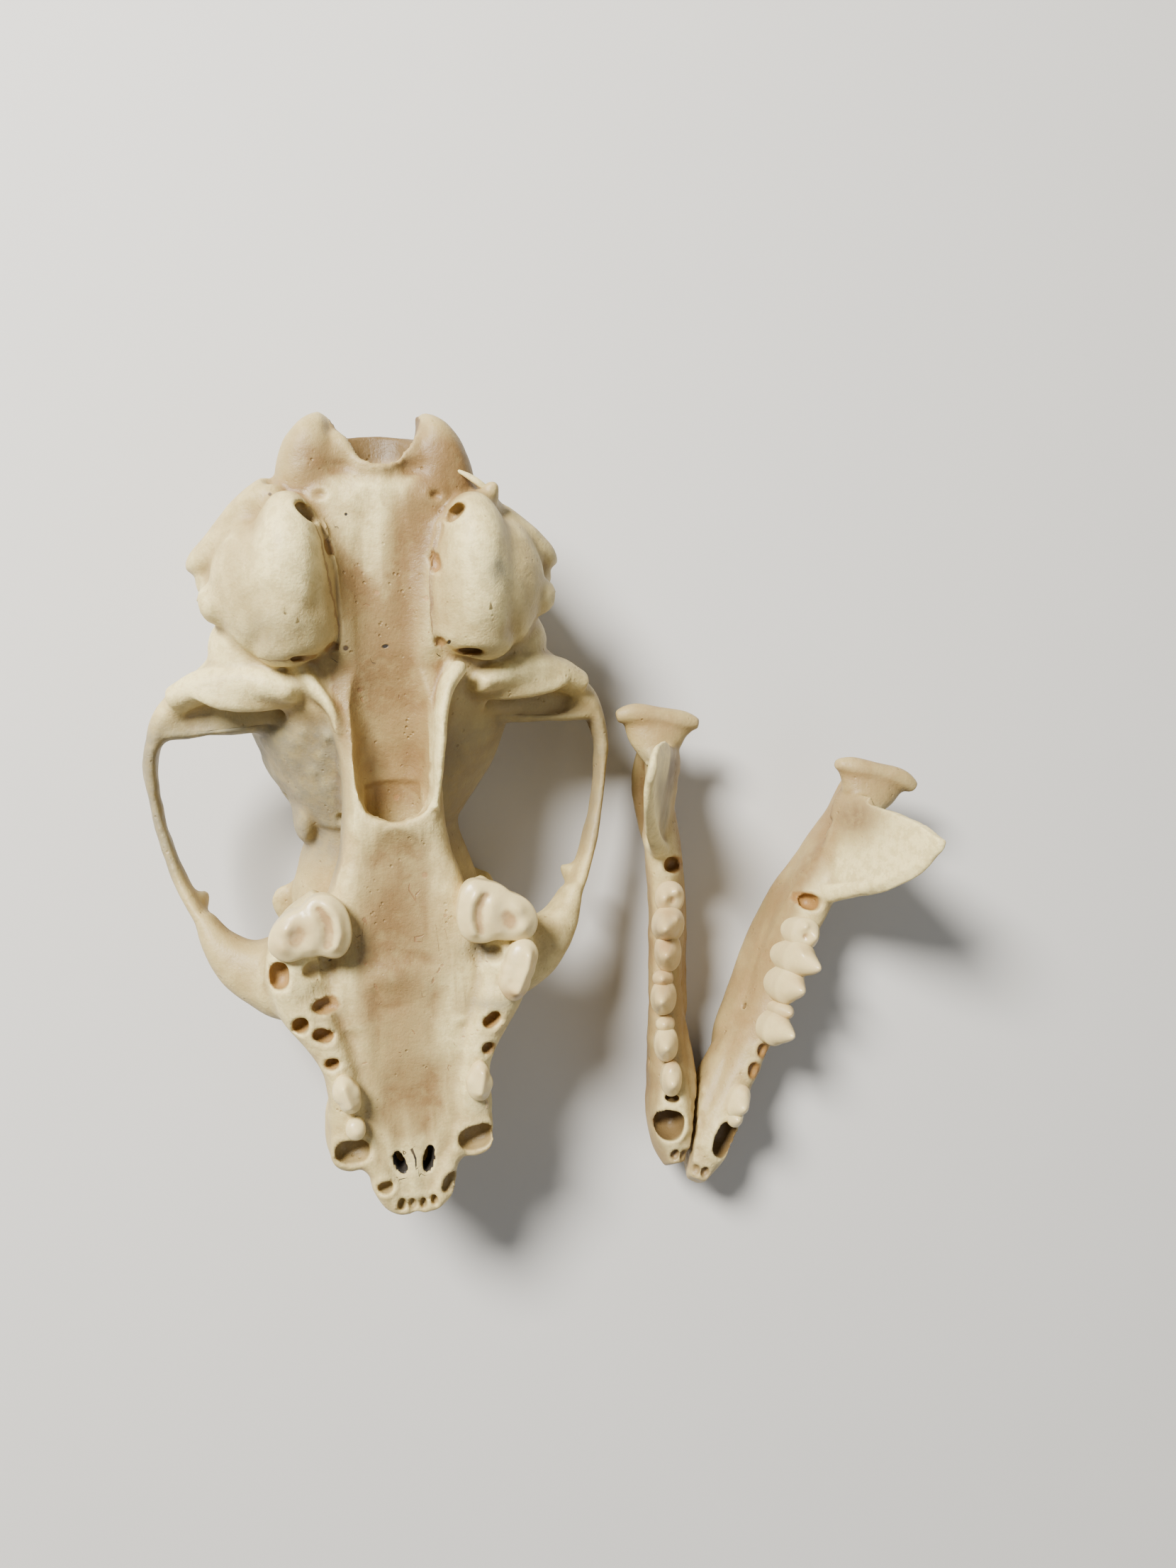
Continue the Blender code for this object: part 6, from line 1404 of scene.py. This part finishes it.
def blank_material(name):
    """A new material with its wiring, the inputs of its surface and the place on the object."""
    material = bpy.data.materials.new(name)
    material.use_nodes = True
    w = Wiring(material.node_tree)
    surface = material.node_tree.nodes["Principled BSDF"]
    return material, w, surface.inputs, w.add("ShaderNodeTexCoord").outputs["Object"]


def feed_surface(w, surface, colour, rough, bump):
    """Feeds a surface with its colour, its roughness and its fine bumps."""
    w.feed(surface["Base Color"], colour)
    w.feed(surface["Roughness"], rough)
    w.feed(surface["Normal"], bump.outputs[0])


def lit_through(surface, weight, radius, scale):
    """Lets light into a surface: the share of it, its reach in red, green and blue, and their scale in metres."""
    for key, value in (("Weight", weight), ("Radius", radius), ("Scale", scale)):
        surface["Subsurface " + key].default_value = value


def tinted(colour, share):
    """A colour made darker or lighter by a share."""
    return (*[min(1.0, v * share) for v in colour[:3]], 1.0)


def bone_material(name, warm, depth):
    """Dry bone with its marks read from the piece's attributes."""
    colours = bpy.context.scene.bone_colours
    material, w, surface, place = blank_material(name)
    marks, wear = w.attribute("marks"), w.attribute("wear")
    group = w.add("ShaderNodeGroup", {"node_tree": bpy.data.node_groups.get("dry_bone") or bone_group()},
                  Place=place, Marks=marks["Color"], Wear=wear["Color"], Warm=w.times(marks["Alpha"], warm),
                  **{key.capitalize(): tuple(getattr(colours, key)) for key in BONE_COLOURS},
                  Pins=w.attribute("pins")["Vector"], Lines=w.attribute("lines")["Vector"]).outputs
    bump = w.add("ShaderNodeBump", Height=group["Height"], Distance=depth, Strength=1.0)
    feed_surface(w, surface, group["Color"], group["Roughness"], bump)
    lit_through(surface, *BONE_GLOW)
    surface["Specular IOR Level"].default_value = 0.4
    return material


def enamel_material():
    """Tooth enamel: pale, smoother than the bone, with cloudy patches, and brown on abraded and grimy places and, as
    painted shade, in the creases between the cusps.
    """
    colours = bpy.context.scene.bone_colours
    material, w, surface, place = blank_material("tooth_enamel")
    worn = w.attribute("worn")["Fac"]
    cloud = w.noise(place, 520.0, 3.0)
    fine = w.noise(place, 2600.0, 2.0)
    colour = w.blend(w.ramp(cloud, 0.3, 0.7), tinted(colours.enamel, 0.9), tinted(colours.enamel, 1.03))
    colour = w.blend(w.times(w.ramp(fine, 0.55, 0.8), 0.12), colour, tuple(colours.peach))
    patch = w.times(worn, w.ramp(w.plus(cloud, w.times(fine, 0.4)), 0.25, 0.85))
    patch = w.plus(w.times(patch, 0.6), w.times(worn, 0.4))
    colour = w.blend(patch, colour, WORN_AND_SHADE_BROWN)
    height = w.plus(w.times(cloud, 0.6), w.times(fine, 0.1))
    bump = w.add("ShaderNodeBump", Height=height, Distance=ENAMEL_BUMPS, Strength=0.8)
    feed_surface(w, surface, colour, w.plus(w.times(cloud, 0.14), 0.26), bump)
    lit_through(surface, *ENAMEL_GLOW)
    return material


def cranium_skin(step, soft):
    """The cranium as one even skin of its parts, with its openings and sockets cut."""
    pieces = [*nose_and_palate(), *brain_box(), *cheek_arches(), *bullae(),
              tube("plate_root", PLATE_ROOT, around=10),
              *pair_of_eggs("tongue_tip", (10.4, 53.1, -5.7), (1.7, 1.0, 0.85), (0, 0, 24)),
              *pair_of_eggs("tongue", (13.6, 52.9, -5.4), (5.0, 1.35, 0.95), (0, 0, 5))]
    skull = evened(boolean(pieces[0], pieces[1:], "UNION"), step, soft)
    pits = [slanted_pit("pit", *row) for row in PITS]
    boolean(skull, hollows() + drillings() + pits, "DIFFERENCE")
    return main_shell(evened(skull, step, 2))


# Soft spots where the jaw joints are ground smooth, and where the bone is porous
JOINTS = {"any": [(1.3, 14.5, 50.6, -8.6, 6.5, 1.3, 1.9), (1.0, 10.0, 51.6, -7.2, 1.6, 1.3, 1.8),
                  (1.0, 14.0, 54.2, -4.6, 5.2, 1.5, 1.6)]}
POROUS = {"any": [(1.0, 7.9, 26.6, -1.5, 2.0, 1.3, 2.5), (0.6, 5.0, 53.0, -3.0, 1.6, 3.0, 3.0)]}


def cranium_hole_marks(p):
    """How deep each point lies: in brown, in olive and in black holes, in the opening of the spinal cord, and in
    all of them as the colours show it. The black of the slots and the olive of the spinal cord's opening are
    painted shade."""
    brown = socket_share(p, [*BROWN_SOCKETS, *FORAMINA])
    olive = socket_share(p, OLIVE_SOCKETS) * np.where(p[:, 1] > 60, 0.4, 1.0)
    black = socket_share(p, SLOTS)
    # the spinal cord's opening, for its painted shade
    cord = eased(p[:, 1], 75.0, 76.4) * (np.abs(p[:, 0] - 0.2) < 4.4) * (1 - eased(p[:, 2], -6.2, -4.8))
    cord *= (p[:, 1] < 80.4) * (p[:, 2] > -13.5)
    return brown, olive, black, cord, np.maximum(np.maximum(0.8 * brown, 0.5 * olive), np.maximum(black, cord))


def waves(points, broad, fine):
    """The bone's soft waves, broad ones with finer ones of half the height."""
    return uneven(points, broad, 0.5) + 0.5 * uneven(points, fine, 2.5)


def crease_shade_and_edge_light(obj, rounds, share, low, high):
    """Painted shade in creases and hollows, and a painted highlight on edges, from how far each point lies below the
    ground around it: for creases and edges the ground smoothed for so many rounds, and for hollows, which add their
    share of painted shade from low to high, the ground smoothed much more."""
    fine = sunken(obj, rounds)
    shade_and_dirt = 0.4 * eased(fine, 0.02, 0.14) + share * eased(sunken(obj, WIDE_ROUNDS), low, high)
    return shade_and_dirt, 0.3 * eased(-fine, 0.02, 0.12)


def plain_marks(obj, stain=0.0, chalk=0.0, grey=0.0, warm=0.0):
    """The same marks all over a small piece."""
    none = np.zeros(len(obj.data.vertices))
    marked(obj, none + stain, none + chalk, none + grey, none + warm, none, none, none)


class SKULL_OT_cranium(bpy.types.Operator):
    """Builds the cranium as one skin with its sockets and holes, its relief and its marks"""

    bl_idname = "skull.cranium"
    bl_label = "Cranium"

    def execute(self, context):
        sizes = context.scene.skull_sizes
        step = sizes.voxel / MM
        skull = thinned(cranium_skin(step, sizes.soft), sizes.triangles)
        if len(skull.data.vertices) < LEAST_POINTS:
            raise RuntimeError("the cranium's skin came out too coarse")
        p = positions(skull)
        joint = np.clip(spots(folded(p), {"any": 1.0}, JOINTS), 0, 1)
        moved(skull, p + joint[:, None] * (ground(skull, JOINT_ROUNDS) - p))
        p, n = positions(skull), facings(skull)
        relief = cranium_relief(p, n)
        brown, olive, black, cord, deep = cranium_hole_marks(p)
        lift = relief * (1 - np.clip(1.4 * deep, 0, 1)) + rims(p, n, [*BROWN_SOCKETS, *OLIVE_SOCKETS], RIM_HEIGHT)
        lift += sizes.unevenness / MM * waves(p, 3.4, 1.5)
        moved(skull, p + n * lift[:, None])
        stain, chalk, grey, warm = cranium_marks(p, n, relief)
        # painted shade from creases and hollows goes into the stain, a painted highlight on edges into the chalk
        shade_and_dirt, wear = crease_shade_and_edge_light(skull, 24, 0.25, 0.15, 1.0)
        stain = (stain + shade_and_dirt) * (1 - 0.6 * olive)
        pins = pinholes(p, n, PINS)
        # inside the incisive slots the pinhole's black is painted in full, as painted shade
        pins[black > 0.3] = 0.0
        # the olive share also carries the painted shade of the spinal cord's opening
        marked(skull, stain, chalk + wear, grey, warm, deep, spots(p, {"any": 1.0}, POROUS),
               np.maximum(olive, cord) * (1 - brown), pins, hair_lines(p, n, LINES))
        material = bone_material("cranium_bone", 0.8, CRANIUM_BUMPS)
        set_down(skull, "cranium", "cranium_bone", material, CRANIUM_NODES)
        splinter = evened(tube("bone_splinter", SPLINTER, around=8), step / 3, 3)
        plain_marks(splinter, chalk=0.7)
        set_down(splinter, "cranium", "bone_splinter", material)
        scrolls = joined([rolled("scroll", *row) for row in SCROLLS], "nose_scrolls")
        plain_marks(scrolls, stain=0.2, grey=0.2, warm=0.4)
        set_down(scrolls, "cranium", "nose_scrolls", material)
        return {"FINISHED"}


def grown(rows, places, dirty):
    """Crowns as one object, with how brown each point is: the abraded places, painted shade in the creases between the
    cusps, and the grime all over, more of it further back."""
    whole = joined([crown("tooth", *row) for row in rows], "teeth")
    p = positions(whole)
    # brown in the creases between the cusps is painted shade; the grime and the abraded places are the crowns' own
    # colour
    worn = 0.9 * eased(sunken(whole, 60), 0.015, 0.14) + dirty * (0.6 + 0.5 * eased(p[:, 1], 14.0, 24.0))
    for x, y, across, along, brown in places:
        worn += brown * near(p[:, :2], (x, y), (across, along))
    layer = whole.data.attributes.new("worn", "FLOAT", "POINT")
    layer.data.foreach_set("value", np.clip(worn, 0, 1).astype(np.float32))
    return whole


class SKULL_OT_upper_teeth(bpy.types.Operator):
    """Puts the remaining upper teeth into their sockets"""

    bl_idname = "skull.upper_teeth"
    bl_label = "Upper teeth"

    def execute(self, context):
        whole = grown(UPPER, WORN_UPPER, 0.05)
        set_down(whole, "cranium", "upper_teeth", enamel_material())
        return {"FINISHED"}


def jaw_cuts(place, holes):
    """What is cut from one half of the lower jaw: sockets, nerve holes and the face where the halves meet. The left
    half also loses a torn edge beside a missing tooth, and the bone behind the edge of its blade."""
    cuts = [slanted_pit("pit", *row) for row in holes]
    if place == "left":
        cuts += [egg("torn_edge", (7.0, 15.2, 9.9), (1.7, 2.4, 1.3), (0, 0, -12)),
                 skin("blade_edge", np.array([[(x, y, z) for y, z in BLADE_EDGE] for x in (4.0, 26.0)], float))]
    return [*cuts, drilled("nerve", (8.6, 43.0, 8.6), (12.2, 38.0, 6.2), 0.55, 0.5),
            drilled("chin_hole", (6.4, 11.0, 5.4), (2.6, 13.5, 5.6), 0.55, 0.4),
            drilled("chin_hole", (8.6, 17.6, 5.2), (4.6, 20.5, 5.4), 0.42, 0.35),
            slab("middle", (-8, -5), (MEETING_FACE, 40), -20.0, 30.0)]


class SKULL_OT_jaw_halves(bpy.types.Operator):
    """Builds the two halves of the lower jaw, each with its open sockets, relief and marks"""

    bl_idname = "skull.jaw_halves"
    bl_label = "Jaw halves"

    def execute(self, context):
        sizes = context.scene.skull_sizes
        step = sizes.jaw_voxel / MM
        material = bone_material("jaw_bone", 1.0, JAW_BUMPS)
        for place, side, node in JAW_HALVES:
            holes = [JAW_HOLES[name] for name in JAW_OPEN[place]]
            pieces = jaw_bone()
            bone = evened(boolean(pieces[0], pieces[1:], "UNION"), step, sizes.soft)
            boolean(bone, jaw_cuts(place, holes), "DIFFERENCE")
            main_shell(evened(bone, step, 2))
            p, n = positions(bone), facings(bone)
            deep = socket_share(p, holes)
            lift = jaw_relief(p, n) * (1 - deep) + rims(p, n, holes, JAW_RIM_HEIGHT)
            lift += 0.8 * sizes.unevenness / MM * waves(p, 3.0, 1.3)
            points = p + n * lift[:, None]
            points[:, 0] = np.maximum(points[:, 0], MEETING_FACE)
            moved(bone, points)
            stain, chalk, grey, warm = jaw_marks(p, n, side)
            # painted shade from creases and hollows goes into the stain, a painted highlight on edges into the chalk
            shade_and_dirt, wear = crease_shade_and_edge_light(bone, 30, 0.3, 0.08, 0.6)
            porous = 0.5 * bell(p[:, 0], 0.5) * (p[:, 1] < 12)
            front = 1 - eased(p[:, 1], 9.0, 12.0)
            deep *= np.where(p[:, 1] < 3.4, 0.25, 1.0)
            marked(bone, stain + shade_and_dirt, chalk + wear, grey, warm, deep, porous, front)
            leaned(bone, side)
            set_down(bone, place, f"jaw_{place}", material, [node])
        return {"FINISHED"}


class SKULL_OT_lower_teeth(bpy.types.Operator):
    """Puts the remaining lower teeth into the two halves of the jaw"""

    bl_idname = "skull.lower_teeth"
    bl_label = "Lower teeth"

    def execute(self, context):
        material = bpy.data.materials.get("tooth_enamel") or enamel_material()
        for place, side, _ in JAW_HALVES:
            rows = [row for name in JAW_TEETH[place] for row in LOWER[name]]
            whole = leaned(grown(rows, WORN_LOWER, 0.45 if side < 0 else 0.1), side)
            set_down(whole, place, f"lower_teeth_{place}", material)
        return {"FINISHED"}


class SKULL_OT_stage(bpy.types.Operator):
    """Sets the pale floor, the soft lights and the camera of the photograph"""

    bl_idname = "skull.stage"
    bl_label = "Stage"

    def execute(self, context):
        floor = slab("floor", (-1, -1), (1, 1), -0.002, 0.0)
        material, w, surface, place = blank_material("floor_paint")
        base = tuple(context.scene.bone_colours.floor)
        w.feed(surface["Base Color"], w.blend(w.ramp(w.noise(place, 60.0), 0.2, 0.8), tinted(base, 0.985), base))
        surface["Roughness"].default_value = 0.85
        floor.data.materials.append(material)
        world = bpy.data.worlds.new("room")
        world.use_nodes = True
        background = world.node_tree.nodes["Background"].inputs
        background[0].default_value, background[1].default_value = ROOM_COLOUR, ROOM_LIGHT
        context.scene.world = world
        for name, spot, size, power, tint in LIGHTS:
            data = bpy.data.lights.new(name, "AREA")
            data.shape, data.size, data.energy, data.color = "DISK", size, power, tint
            light = bpy.data.objects.new(name, data)
            light.location = spot
            light.rotation_euler = (-light.location).to_track_quat("-Z", "Y").to_euler()
            context.scene.collection.objects.link(light)
        data = bpy.data.cameras.new("photo_view")
        data.sensor_fit, data.sensor_height, data.lens = "VERTICAL", SENSOR_HEIGHT, FOCAL_LENGTH
        data.clip_start, data.clip_end = 0.005, 10.0
        camera = bpy.data.objects.new("photo_view", data)
        camera.location = CAMERA_SPOT
        camera.rotation_euler = (0.0, math.radians(CAMERA_LEAN), 0.0)
        context.scene.collection.objects.link(camera)
        context.scene.camera = camera
        return {"FINISHED"}


class SKULL_PT_panel(bpy.types.Panel):
    """Lists the pieces of the skull"""

    bl_label = "Marten skull"
    bl_idname = "SKULL_PT_panel"
    bl_space_type = "VIEW_3D"
    bl_region_type = "UI"
    bl_category = "Skull"

    def draw(self, context):
        for group in (context.scene.skull_sizes, context.scene.bone_colours):
            box = self.layout.box()
            for key in group.__annotations__:
                box.prop(group, key)
        for operator in OPERATORS:
            self.layout.operator(operator.bl_idname)


OPERATORS = (SKULL_OT_cranium, SKULL_OT_upper_teeth, SKULL_OT_jaw_halves, SKULL_OT_lower_teeth, SKULL_OT_stage)
CLASSES = (SkullSizes, BoneColours, *OPERATORS, SKULL_PT_panel)


def register():
    for cls in CLASSES:
        bpy.utils.register_class(cls)
    bpy.types.Scene.skull_sizes = bpy.props.PointerProperty(type=SkullSizes)
    bpy.types.Scene.bone_colours = bpy.props.PointerProperty(type=BoneColours)


def unregister():
    del bpy.types.Scene.bone_colours
    del bpy.types.Scene.skull_sizes
    for cls in reversed(CLASSES):
        bpy.utils.unregister_class(cls)


def main():
    register()
    bpy.ops.skull.cranium()
    bpy.ops.skull.upper_teeth()
    bpy.ops.skull.jaw_halves()
    bpy.ops.skull.lower_teeth()
    bpy.ops.skull.stage()


if __name__ == "__main__":
    main()
